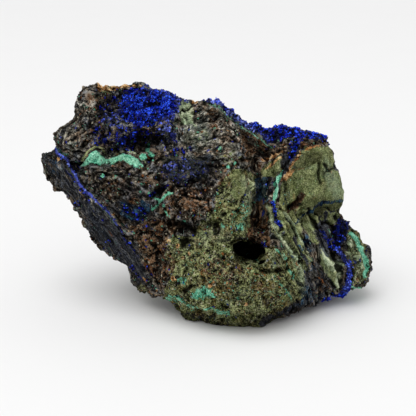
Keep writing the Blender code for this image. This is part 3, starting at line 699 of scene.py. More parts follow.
CARVINGS = (
    Carving("shelf_peak", Area(((82, 167), (88, 157), (93, 151), (97, 150), (101, 156), (106, 163),
        (98, 166)), 1.0), -1.3, 0.0),
    Carving("shelf_arch", Area(((107, 164), (114, 158), (123, 154), (131, 155), (138, 160), (145, 169),
        (137, 169), (124, 163)), 1.0), -1.1, 0.0),
    Carving("shard_near", Area(((321, 249), (326, 255), (334, 263), (345, 265), (338, 273), (330, 273),
        (323, 263)), 0.9), -1.5, 0.0),
    Carving("shard_far", Area(((336, 274), (342, 273), (342, 284), (338, 292), (333, 283)), 0.9),
        -1.3, 0.0),
    Carving("cave_flap", Area(((262, 258), (270, 248), (281, 249), (289, 261), (277, 268), (264, 268)),
        1.2), -1.2, 0.0),
    Carving("flap_shadow", Streak(((262, 270), (272, 272), (282, 268)), 2.4, 1.2), 1.6, 0.8),
    Carving("deep_hole", Area(((231, 243), (239, 239), (247, 243), (262, 248), (266, 255), (260, 264),
        (248, 262), (236, 252)), 1.6), 6.0),
    Carving("cave", Area(((255, 204), (266, 203), (268, 224), (268, 240), (258, 244), (251, 236)), 3.0),
        1.0, 0.0),
    Carving("vug", Spots(((158, 191, 4.0), (162, 189, 3.6), (154, 195, 3.0)), 1.6), 2.6),
    Carving("lip_shadow", Area(((166, 222), (180, 222), (193, 225), (198, 232), (190, 232), (176, 228),
        (166, 228)), 2.0), 2.6),
    Carving("bulge_pit", Area(((179, 240), (186, 237), (188, 243), (182, 248)), 1.5), 1.6),
    Carving("bulge_low_pit", Area(((181, 291), (190, 284), (193, 288), (184, 295)), 1.5), 1.8),
    Carving("knob_pit", Spots(((243, 159, 2.6),), 1.2), 2.2),
    Carving("knob_side_pit", Spots(((224, 214, 2.6), (214, 226, 2.4)), 1.4), 1.4),
    Carving("pocket_recess", Area(((130, 131), (160, 130), (160, 146), (140, 150), (126, 146)), 4.0),
        2.2, 0.7),
    Carving("pocket_side_recess", Area(((96, 104), (104, 104), (102, 130), (94, 138), (92, 122)), 4.0),
        1.6, 0.5),
    Carving("shelf_recess", Area(((100, 148), (118, 146), (128, 149), (116, 156), (106, 157)), 2.5),
        1.4, 0.6),
    Carving("block_crack", Streak(((318.8, 162), (319, 172), (320.4, 184)), 2.4, 1.0), 1.2),
    Carving("block_side_crack", Streak(((323.8, 169), (325, 180)), 1.4, 1.0), 0.9),
    Carving("block_cross", Streak(((326, 164), (329, 171), (333, 167)), 2.0, 0.9), 1.1),
    Carving("block_cross_bar", Streak(((326, 173), (330, 169)), 1.8, 0.9), 0.9),
    Carving("block_streak", Streak(((301, 193), (297, 200), (288, 209)), 3.4, 2.0), 1.6, 0.6),
    Carving("block_fold", Streak(((288, 174), (296, 170), (307, 167), (318, 160), (326, 152)), 2.4, 2.0),
        1.1, 0.25),
    Carving("block_foot", Streak(((312, 217), (324, 209), (341, 205)), 3.0, 2.0), 1.4, 0.4),
    Carving("column_gap_near", Streak(((274, 212), (279, 226), (287, 240), (298, 254), (306, 274)),
        1.8, 1.4), 1.0, 0.5),
    Carving("column_gap_far", Streak(((286, 214), (292, 226), (298, 244), (306, 262), (313, 282)),
        2.2, 1.6), 1.1, 0.5),
    Carving("shard_gap", Streak(((330, 240), (334, 252), (342, 262)), 2.2, 1.4), 1.2, 0.6),
    Carving("bulge_fold", Streak(((258, 266), (268, 268), (276, 262)), 2.0, 1.4), 1.2, 0.7),
    Carving("bulge_small_pits", Spots(((200, 247, 1.6), (218, 256, 1.8), (232, 268, 2.0), (214, 270, 1.5),
        (246, 290, 1.8)), 1.2), 1.2),
    Carving("cave_top", Area(((259, 182), (270, 180), (268, 200), (256, 202)), 2.5), 1.6, 0.15),
    Carving("smooth_hollow", Streak(((244, 134), (256, 144), (266, 154)), 7.0, 4.0), 1.8, 0.3),
    Carving("fissure", Streak(((296, 148), (288, 158), (284, 170)), 3.4, 2.0), 1.8, 0.5),
    Carving("foot_nodules", Spots(((350.4, 244, 3.6), (347, 254, 2.8), (358, 258, 3.4), (361, 266, 3.4)),
        1.0), -1.0, 0.0),
    Carving("foot_notch", Streak(((341, 246), (352, 262), (354, 276)), 2.0, 1.4), 1.2, 0.5),
)

BEADS = (
    Bead("crest_left", ((200, 101), (209, 99), (217, 101), (226, 109), (238, 117), (250, 123), (262, 130),
        (270, 136)), 1.3, -0.5, 0.5),
    Bead("crest_lump", ((272, 130), (277, 126), (282, 126), (288, 130)), 2.1, 0.2, 0.4),
    Bead("crest_right", ((294, 134), (306, 135), (316, 137), (326, 141)), 1.3, -0.5, 0.5),
    Bead("crest_fall", ((296, 143), (304, 142)), 1.4, 0.0),
    Bead("rib_near", ((267, 208), (272, 226), (279, 238), (286, 248)), 1.3, 0.3),
    Bead("rib_middle", ((279, 209), (285, 227), (294, 244), (301, 257), (306, 269)), 1.4, 0.5),
    Bead("rib_far", ((290, 217), (296, 228), (299, 239), (308, 253), (316, 268), (322, 283)), 1.2, 0.4),
    Bead("rib_last", ((316, 218), (320, 236), (328, 256), (336, 274), (338, 288)), 1.2, 0.3),
    Bead("bulge_edge", ((274, 247), (286, 254), (297, 263), (303, 274), (304, 288), (301, 300)), 1.4, 0.3),
    Bead("hole_lip", ((262, 262), (268, 256), (276, 252), (284, 256)), 1.8, 0.4),
    Bead("hole_brow", ((231, 238), (240, 236), (248, 240)), 1.2, 0.3, 0.5),
    Bead("knob_edge", ((252, 174), (256, 184), (256, 194), (251, 202)), 1.3, 0.3),
    Bead("seam", ((56, 151), (68, 160), (76, 176), (86, 192)), 0.6, 0.2),
    Bead("drape_fold", ((283, 168), (281, 178), (276, 190), (273, 202), (275, 212), (281, 226)), 0.9, 0.3),
    Bead("drape_side", ((268, 164), (264, 178), (268, 196), (266, 206)), 1.3, 0.2),
    Bead("flank_nodule", ((76, 201), (77, 206)), 1.9, 0.0),
    Bead("low_flank_nodule", ((129, 267), (131, 270)), 1.4, 0.0),
    Bead("foot_nodule", ((349, 243), (352, 245)), 1.7, 0.5, 0.1),
    Bead("foot_small_nodule", ((346, 253), (348, 255)), 1.2, 0.4, 0.1),
    Bead("foot_long_nodule", ((357, 257), (361, 268)), 1.5, 0.4, 0.1),
    Bead("foot_band", ((354, 235), (361, 241), (365, 250), (369, 260), (370, 270)), 1.2, 0.3),
    Bead("foot_brown", ((357, 278), (361, 281), (366, 279)), 1.5, 0.3),
)

FLOWS = (
    Flow("striped_slope", Area(((184, 104), (214, 100), (240, 124), (246, 150), (226, 166), (186, 156)),
        6.0), (0.8, 0.0, 0.6), 1.1, 4.0, 0.8),
    Flow("smooth_hollow", Area(((237, 124), (262, 138), (274, 150), (266, 162), (248, 150)), 4.0),
        (0.75, 0.2, -0.6), 1.2, 10.0, 0.5),
    Flow("valley", Area(((250, 150), (286, 150), (284, 232), (256, 250), (248, 200)), 4.0),
        (-0.15, -0.2, -0.95), 1.6, 8.0, 1.1),
    Flow("columns", Area(((264, 200), (340, 212), (350, 300), (300, 312), (280, 250)), 5.0),
        (0.42, -0.2, -0.88), 1.5, 12.0, 1.5),
    Flow("flank", Area(((54, 148), (72, 164), (116, 222), (154, 276), (134, 290), (84, 222), (60, 194),
        (41, 160)), 5.0), (0.55, -0.2, -0.8), 1.3, 12.0, 0.6),
    Flow("front", Area(((90, 168), (150, 176), (160, 220), (130, 230), (100, 200)), 6.0),
        (0.85, -0.2, -0.45), 1.1, 3.0, 0.9),
    Flow("crown_side", Area(((56, 128), (74, 112), (84, 88), (108, 92), (98, 150), (60, 150)), 5.0),
        (0.5, -0.2, 0.85), 1.6, 3.0, 0.8),
    Flow("block_drape", Area(((278, 178), (296, 180), (312, 206), (300, 222), (284, 212)), 5.0),
        (0.25, -0.2, -0.95), 1.6, 7.0, 0.3),
    Flow("block_foot", Area(((304, 200), (344, 196), (342, 218), (318, 224)), 4.0), (0.7, 0.1, 0.7),
        1.2, 8.0, 0.3),
    Flow("right_foot", Area(((350, 232), (374, 250), (368, 290), (352, 290)), 4.0), (0.35, 0.2, -0.9),
        1.5, 6.0, 0.8),
)


# --- Values that change over a mesh's points ---


def noise_field(points: Array, size: float, seed: int, octaves: int = 1) -> Array:
    """Smooth random values over points.

    Args:
        points: Places in millimetres, one in each row.
        size: Width of the largest lumps, in millimetres.
        seed: Which of the random fields to read.
        octaves: How many finer layers are added, each half as wide and half as high.

    Returns:
        One value for each point, roughly from -1 to 1.
    """
    shift = Vector((13.7 * seed, -7.9 * seed, 5.3 * seed))
    return np.array([noise.fractal(Vector(p) + shift, 1.0, 2.0, octaves) for p in points / size])


def chip_field(points: Array, size: float, seed: int) -> Array:
    """Flat chips, as of broken rock: each random cell is a plane with a tilt of its own.

    Args:
        points: Places in millimetres, one in each row.
        size: Width of a chip, in millimetres.
        seed: Which of the random fields to read.

    Returns:
        One height for each point.
    """
    shift = Vector((-5.1 * seed, 11.3 * seed, 3.7 * seed))
    tilt_spread = 5.37
    heights = np.empty(len(points))
    for index, point in enumerate(points / size):
        place = Vector(point) + shift
        cell = noise.voronoi(place)[1][0]
        heights[index] = (place - cell).dot(noise.noise_vector(cell * tilt_spread))
    return heights


def pit_field(points: Array, size: float, seed: int) -> Array:
    """Round pits.

    Args:
        points: Places in millimetres, one in each row.
        size: The spacing of the pits, in millimetres.
        seed: Which of the random fields to read.

    Returns:
        One value for each point, from 0 between the pits to 1 in their middles.
    """
    shift = Vector((2.9 * seed, 4.1 * seed, -8.3 * seed))
    nearest = np.array([noise.voronoi(Vector(p) + shift)[0][0] for p in points / size])
    return smooth_step(-nearest, -0.42, -0.12)


def crack_field(points: Array, size: float, seed: int, width: float) -> Array:
    """Thin winding cracks, from 0 between them to 1 along them."""
    return np.exp(-((noise_field(points, size, seed, 2) / width) ** 2))


def terraced(values: Array, step: float) -> Array:
    """Turns slopes into flat layers with steep edges, a step apart."""
    whole = np.floor(values / step)
    return (whole + smooth_step(values / step - whole, 0.5, 1.0)) * step


@dataclass
class Links:
    """The edges of a mesh, for averaging over neighbours."""

    edges: Array
    count: int

    @classmethod
    def of(cls, mesh: bpy.types.Mesh) -> Links:
        """Reads a mesh's edges."""
        pairs = np.empty(len(mesh.edges) * 2, np.int64)
        mesh.edges.foreach_get("vertices", pairs)
        return cls(pairs.reshape(-1, 2), len(mesh.vertices))

    def averaged(self, values: Array, passes: int) -> Array:
        """Averages each point's value with its neighbours'.

        Args:
            values: One value for each point.
            passes: How many times this is done.

        Returns:
            The averaged values.
        """
        first, second = self.edges[:, 0], self.edges[:, 1]
        shares = np.bincount(self.edges.ravel(), minlength=self.count) + 1.0
        for _ in range(passes):
            total = values + np.bincount(first, values[second], self.count)
            values = (total + np.bincount(second, values[first], self.count)) / shares
        return values


def read_vectors(items: bpy.types.bpy_prop_collection, name: str) -> Array:
    """Reads one vector of each item.

    Args:
        items: A mesh's points or its normals.
        name: What the vector is called there.

    Returns:
        The vectors, one in each row.
    """
    flat = np.empty(len(items) * 3)
    items.foreach_get(name, flat)
    return flat.reshape(-1, 3)


def mesh_points(mesh: bpy.types.Mesh) -> Array:
    """A mesh's points in metres, one in each row."""
    return read_vectors(mesh.vertices, "co")


def mesh_normals(mesh: bpy.types.Mesh) -> Array:
    """The normals at a mesh's points, one in each row."""
    return read_vectors(mesh.vertex_normals, "vector")


def nearest_tree(places: Array, chosen: Array) -> KDTree:
    """Gathers some places for finding the nearest of them.

    Args:
        places: Places, one in each row.
        chosen: The rows to gather.

    Returns:
        The tree, which gives rows back.
    """
    tree = KDTree(len(chosen))
    for index in chosen:
        tree.insert(Vector(places[index]), int(index))
    tree.balance()
    return tree


def baked(shape: bpy.types.Object) -> bpy.types.Mesh:
    """The mesh that an object's modifiers make."""
    graph = bpy.context.evaluated_depsgraph_get()
    return bpy.data.meshes.new_from_object(shape.evaluated_get(graph))


def set_points(mesh: bpy.types.Mesh, points: Array) -> None:
    """Moves a mesh's points."""
    mesh.vertices.foreach_set("co", points.astype(np.float32).ravel())
    mesh.update()


def set_values(mesh: bpy.types.Mesh, name: str, values: Array) -> None:
    """Writes one number for each point of a mesh."""
    layer = mesh.attributes.get(name) or mesh.attributes.new(name, "FLOAT", "POINT")
    layer.data.foreach_set("value", values.astype(np.float32).ravel())


def set_vectors(mesh: bpy.types.Mesh, name: str, values: Array) -> None:
    """Writes one vector for each point of a mesh."""
    layer = mesh.attributes.get(name) or mesh.attributes.new(name, "FLOAT_VECTOR", "POINT")
    layer.data.foreach_set("vector", values.astype(np.float32).ravel())


# --- Shader nodes ---

Socket = bpy.types.NodeSocket
Sockets = bpy.types.bpy_prop_collection
Colour = tuple[float, float, float]


@dataclass
class Value:
    """A value that changes over a surface, with plain arithmetic on it."""

    web: Web
    socket: Socket

    def __add__(self, other: object) -> Value:
        """This value and another."""
        return self.web.math("ADD", self, other)

    def __sub__(self, other: object) -> Value:
        """This value less another."""
        return self.web.math("SUBTRACT", self, other)

    def __rsub__(self, other: float) -> Value:
        """A number less this value."""
        return self.web.math("SUBTRACT", other, self)

    def __mul__(self, other: object) -> Value:
        """This value times another."""
        return self.web.math("MULTIPLY", self, other)

    def __truediv__(self, other: object) -> Value:
        """This value over another."""
        return self.web.math("DIVIDE", self, other)

    def __abs__(self) -> Value:
        """This value without its sign."""
        return self.web.math("ABSOLUTE", self)

    def most(self, other: object) -> Value:
        """The larger of this value and another."""
        return self.web.math("MAXIMUM", self, other)

    def clamped(self) -> Value:
        """This sum or product, kept from 0 to 1."""
        self.socket.node.use_clamp = True
        return self


@dataclass
class Web:
    """A node tree, with short ways to add nodes and join them."""

    tree: bpy.types.NodeTree

    def feed(self, socket: Socket, value: object) -> None:
        """Joins a value to an input, or sets the input to a plain one.

        Args:
            socket: The input.
            value: A value or a socket to join, or what to set.
        """
        value = value.socket if isinstance(value, Value) else value
        if isinstance(value, bpy.types.NodeSocket):
            self.tree.links.new(value, socket)
        else:
            socket.default_value = value

    def add(
        self, kind: str, inputs: dict[str | int, object] | None = None, **settings: object
    ) -> bpy.types.Node:
        """Adds a node.

        Args:
            kind: The node's type name.
            inputs: What goes into each input, by its name or number.
            **settings: The node's own settings.

        Returns:
            The new node.
        """
        node = self.tree.nodes.new(kind)
        for name, value in settings.items():
            setattr(node, name, value)
        for name, value in (inputs or {}).items():
            self.feed(node.inputs[name], value)
        return node

    def out(self, node: bpy.types.Node, name: str | int = 0) -> Value:
        """One output of a node."""
        return Value(self, node.outputs[name])

    def math(self, operation: str, first: object, second: object = 0.0) -> Value:
        """Joins two values by arithmetic."""
        return self.out(self.add("ShaderNodeMath", {0: first, 1: second}, operation=operation))

    def remap(self, value: Value, low: float, high: float) -> Value:
        """Rises smoothly from 0 where a value is low to 1 where it is high."""
        inputs = {"Value": value, "From Min": low, "From Max": high}
        return self.out(self.add("ShaderNodeMapRange", inputs, interpolation_type="SMOOTHSTEP"), "Result")

    def mix(self, share: object, first: object, second: object, blend: str = "MIX") -> Value:
        """Mixes two colours.

        Args:
            share: How much of the second is used, from 0 to 1.
            first: The colour underneath.
            second: The colour on top.
            blend: How they mix.

        Returns:
            The mixed colour.
        """
        node = self.add("ShaderNodeMix", data_type="RGBA", blend_type=blend)
        for index, value in ((0, share), (6, first), (7, second)):
            self.feed(node.inputs[index], (*value, 1.0) if isinstance(value, tuple) else value)
        return self.out(node, 2)

    def ramp(self, value: Value, stops: tuple[tuple[float, Colour], ...]) -> Value:
        """Reads a colour along a value.

        Args:
            value: The value.
            stops: Where each colour stands along it.

        Returns:
            The colour.
        """
        node = self.add("ShaderNodeValToRGB", {"Fac": value})
        elements = node.color_ramp.elements
        while len(elements) < len(stops):
            elements.new(0.5)
        for element, (place, colour) in zip(elements, stops):
            element.position = place
            element.color = (*colour, 1.0)
        return self.out(node, "Color")

    def place(self) -> Value:
        """The place on the object."""
        return self.out(self.add("ShaderNodeTexCoord"), "Object")

    def painted(self, name: str, output: str = "Fac") -> Value:
        """A value that the surface carries as an attribute."""
        return self.out(self.add("ShaderNodeAttribute", attribute_name=name), output)

    def noise(self, size: float, detail: float = 4.0, rough: float = 0.6, warp: float = 0.0) -> Value:
        """Cloud noise on the object.

        Args:
            size: How wide its lumps are, in millimetres.
            detail: How many finer layers it has.
            rough: How strong those are.
            warp: How far it is stirred.

        Returns:
            The noise.
        """
        return self.cloud_at(self.place(), per_metre(size), detail, rough, warp)

    def cloud_at(
        self, place: Value, scale: object, detail: float, rough: float, warp: float, output: str = "Fac"
    ) -> Value:
        """Cloud noise at any place and scale."""
        inputs = {"Vector": place, "Scale": scale, "Detail": detail, "Roughness": rough, "Distortion": warp}
        return self.out(self.add("ShaderNodeTexNoise", inputs), output)

    def bump(self, height: Value, depth: float) -> Value:
        """Bumps of a depth in millimetres."""
        inputs = {"Height": height, "Distance": depth * MM, "Strength": 1.0}
        return self.out(self.add("ShaderNodeBump", inputs), "Normal")

    def group(self, tree: bpy.types.NodeTree, **inputs: object) -> Value:
        """Places a shader group.

        Args:
            tree: The group.
            **inputs: What goes into each of its inputs.

        Returns:
            What it puts out.
        """
        node = self.add("ShaderNodeGroup", node_tree=tree)
        for name, value in inputs.items():
            self.feed(node.inputs[name], value)
        return self.out(node)


def per_metre(size: float) -> float:
    """The scale of a pattern whose lumps have a size in millimetres."""
    return 1000.0 / size


class Pattern(Web):
    """A shader group that reads a pattern at a place and puts out one value from 0 to 1."""

    def __init__(self, name: str, output: str, **numbers: float) -> None:
        """Starts the group.

        Args:
            name: The group's name.
            output: The name of what it puts out.
            **numbers: Each number that it takes in beside the place, and the value it starts with.
        """
        super().__init__(bpy.data.node_groups.new(name, "ShaderNodeTree"))
        faces = self.tree.interface
        faces.new_socket("Place", in_out="INPUT", socket_type="NodeSocketVector")
        for label, start in numbers.items():
            faces.new_socket(label, in_out="INPUT", socket_type="NodeSocketFloat").default_value = start
        faces.new_socket(output, in_out="OUTPUT", socket_type="NodeSocketFloat")
        self.given, self.result = self.add("NodeGroupInput"), self.add("NodeGroupOutput")

    def taken(self, name: str) -> Value:
        """One value that the group takes in."""
        return self.out(self.given, name)

    def cloud(
        self, detail: float, rough: float = 0.5, warp: float = 0.0, zoom: float = 1.0, output: str = "Fac"
    ) -> Value:
        """Cloud noise at the group's place.

        Args:
            detail: How many finer layers it has.
            rough: How strong those are.
            warp: How far it is stirred.
            zoom: How much finer its lumps are than the group's own.
            output: The noise's own output to read.

        Returns:
            The noise.
        """
        scale = self.taken("Scale") if zoom == 1.0 else self.taken("Scale") * zoom
        return self.cloud_at(self.taken("Place"), scale, detail, rough, warp, output)

    def cells(self, place: Value | None = None) -> bpy.types.Node:
        """Random cells at the group's place, or at another."""
        inputs = {"Vector": place or self.taken("Place"), "Scale": self.taken("Scale")}
        return self.add("ShaderNodeTexVoronoi", inputs)

    def draw(self, cell: bpy.types.Node, channel: str) -> Value:
        """A random number for each cell."""
        return self.out(self.add("ShaderNodeSeparateColor", {"Color": cell.outputs["Color"]}), channel)

    def done(self, value: Value) -> bpy.types.NodeTree:
        """Puts the value out and ends the group."""
        self.feed(self.result.inputs[0], value)
        return self.tree


def grit_group() -> bpy.types.NodeTree:
    """Sharp stone grain, as the height of its crumbs."""
    web = Pattern("grit", "Height", Scale=900.0, Contrast=1.0)
    crumb_share, middle = 0.28, 0.36
    lean = web.cloud(5.0, 0.66) - web.out(web.cells(), "Distance") * crumb_share
    return web.done(((lean - middle) * web.taken("Contrast") + 0.5).clamped())


def ridge_group() -> bpy.types.NodeTree:
    """Sharp crooked ridges with hollows between them, as a height."""
    web = Pattern("ridges", "Height", Scale=400.0, Sharp=8.0)
    crest_share, swell_share, floor, swell_zoom = 0.6, 1.6, 0.2, 0.45
    crest = (1.0 - abs(web.cloud(5.0, 0.62, 0.4) - 0.5) * web.taken("Sharp")).clamped()
    swell = web.cloud(3.0, zoom=swell_zoom) - 0.5
    return web.done((crest * crest_share + swell * swell_share + floor).clamped())


def edge_group() -> bpy.types.NodeTree:
    """Turns a painted value into a mask with a ragged edge."""
    web = Pattern("ragged_edge", "Mask", Zone=0.0, Scale=500.0, Ragged=0.8)
    reach = 2.6
    spread = (web.cloud(7.0, 0.72) - 0.5) * web.taken("Ragged") * reach
    lit = (web.taken("Zone") + spread) * web.remap(web.taken("Zone"), 0.02, 0.12)
    return web.done(web.remap(lit, 0.44, 0.56))


def pore_group() -> bpy.types.NodeTree:
    """Small dark pores of uneven size, as a mask."""
    web = Pattern("pores", "Mask", Scale=900.0, Width=0.3)
    smallest, ragged = 0.35, 0.5
    cell = web.cells()
    width = web.taken("Width") * (web.draw(cell, "Green") + smallest)
    edge = web.out(cell, "Distance") + (web.cloud(3.0) - 0.5) * ragged
    return web.done(web.remap(width - edge, -0.06, 0.06))


def hairline_group() -> bpy.types.NodeTree:
    """Thin curved lines that come and go, as along the edges of thin layers, as a mask."""
    web = Pattern("hairlines", "Mask", Scale=300.0, Width=0.02, Share=0.5)
    broken, gap_zoom = 6.0, 0.7
    line = (1.0 - abs(web.cloud(3.0, 0.6, 0.5) - 0.5) / web.taken("Width")).clamped()
    kept = ((web.cloud(2.0, zoom=gap_zoom) - 0.5) * broken + web.taken("Share")).clamped()
    return web.done(line * kept)


def speck_group() -> bpy.types.NodeTree:
    """Loose ragged specks, as a mask. Another shift picks other specks."""
    web = Pattern("specks", "Mask", Scale=1500.0, Share=0.1, Shift=0.0)
    stir, turns = 0.9 * MM, 7.0
    inputs = {0: web.cloud(2.0, output="Color"), 1: (stir, stir, stir)}
    reach = web.add("ShaderNodeVectorMath", inputs, operation="MULTIPLY")
    bent = web.add("ShaderNodeVectorMath", {0: web.taken("Place"), 1: web.out(reach)}, operation="ADD")
    cell = web.cells(web.out(bent))
    picked = web.math("FRACT", web.draw(cell, "Blue") * turns + web.taken("Shift"))
    inside = web.math("LESS_THAN", picked, web.taken("Share"))
    return web.done(inside * web.remap(web.out(cell, "Distance"), 0.52, 0.4))


@dataclass
class Groups:
    """The shader groups that the finishes share."""

    grit: bpy.types.NodeTree = field(default_factory=grit_group)
    ridges: bpy.types.NodeTree = field(default_factory=ridge_group)
    edge: bpy.types.NodeTree = field(default_factory=edge_group)
    pores: bpy.types.NodeTree = field(default_factory=pore_group)
    hairlines: bpy.types.NodeTree = field(default_factory=hairline_group)
    specks: bpy.types.NodeTree = field(default_factory=speck_group)


@dataclass(frozen=True)
class Tone:
    """The colours of one mineral, from its hollows to its crests."""

    low: Colour
    middle: Colour
    high: Colour
    bounds: tuple[float, float, float] = (0.28, 0.52, 0.78)

    def colour(self, web: Web, height: Value) -> Value:
        """Reads the colour for a height."""
        return web.ramp(height, tuple(zip(self.bounds, (self.low, self.middle, self.high))))


@dataclass(frozen=True)
class Coat:
    """How one mineral lies over the rock: its tone, and the size and raggedness of its patches."""

    tone: Tone
    patch: float
    ragged: float


ROCK_TONE = Tone((0.0022, 0.0016, 0.0011), (0.034, 0.026, 0.018), (0.3, 0.255, 0.195))
COOL_ROCK_TONE = Tone((0.0015, 0.0018, 0.0024), (0.028, 0.031, 0.037), (0.31, 0.325, 0.34))
COATS = {
    Mineral.ASH: Coat(Tone((0.006, 0.006, 0.005), (0.12, 0.115, 0.095), (0.66, 0.63, 0.54)), 1.2, 1.0),
    Mineral.SAGE: Coat(Tone((0.005, 0.005, 0.002), (0.117, 0.131, 0.044), (0.44, 0.485, 0.23)), 1.2, 0.8),
    Mineral.OLIVE: Coat(Tone((0.024, 0.028, 0.01), (0.14, 0.166, 0.064), (0.46, 0.5, 0.24)), 1.6, 0.5),
    Mineral.RUST: Coat(Tone((0.002, 0.001, 0.0007), (0.037, 0.019, 0.009), (0.26, 0.15, 0.08)), 1.3, 1.0),
    Mineral.INK: Coat(Tone((0.001, 0.001, 0.0015), (0.0155, 0.017, 0.023), (0.12, 0.13, 0.15)), 1.6, 1.0),
    Mineral.TEAL: Coat(Tone((0.001, 0.002, 0.005), (0.005, 0.019, 0.045), (0.045, 0.12, 0.2)), 1.2, 1.0),
    Mineral.CHALK: Coat(Tone((0.03, 0.034, 0.015), (0.25, 0.31, 0.17), (0.68, 0.74, 0.5)), 0.9, 0.9),
    Mineral.OCHRE: Coat(Tone((0.06, 0.022, 0.008), (0.52, 0.26, 0.085), (0.95, 0.7, 0.38)), 0.7, 0.9),
    Mineral.MALACHITE: Coat(Tone((0.01, 0.08, 0.05), (0.11, 0.48, 0.3), (0.5, 0.88, 0.68)), 0.7, 1.0),
    Mineral.AZURITE: Coat(
        Tone((0.0002, 0.0004, 0.002), (0.0006, 0.0015, 0.02), (0.006, 0.02, 0.25)), 0.8, 1.0
    ),
}


@dataclass(frozen=True)
class Fleck:
    """Loose specks of one colour strewn over the rock: their width in millimetres and how many there are."""

    colour: Colour
    width: float
    share: float
    shift: float


FLECKS = (
    Fleck((0.46, 0.42, 0.31), 0.6, 0.045, 0.0),
    Fleck((0.004, 0.003, 0.002), 0.9, 0.13, 0.3),
    Fleck((0.24, 0.085, 0.028), 0.8, 0.022, 0.5),
    Fleck((0.09, 0.34, 0.22), 0.7, 0.018, 0.7),
    Fleck((0.006, 0.018, 0.2), 0.8, 0.018, 0.85),
)


@dataclass(frozen=True)
class Hairlines:
    """Thin lines along the rock's layers: their spacing in millimetres, how thick they are and how many."""

    spacing: float
    width: float
    share: float

    def mask(self, web: Web, groups: Groups, drawn: Value) -> Value:
        """Where the lines lie."""
        return web.group(
            groups.hairlines, Place=drawn, Scale=per_metre(self.spacing), Width=self.width, Share=self.share
        )


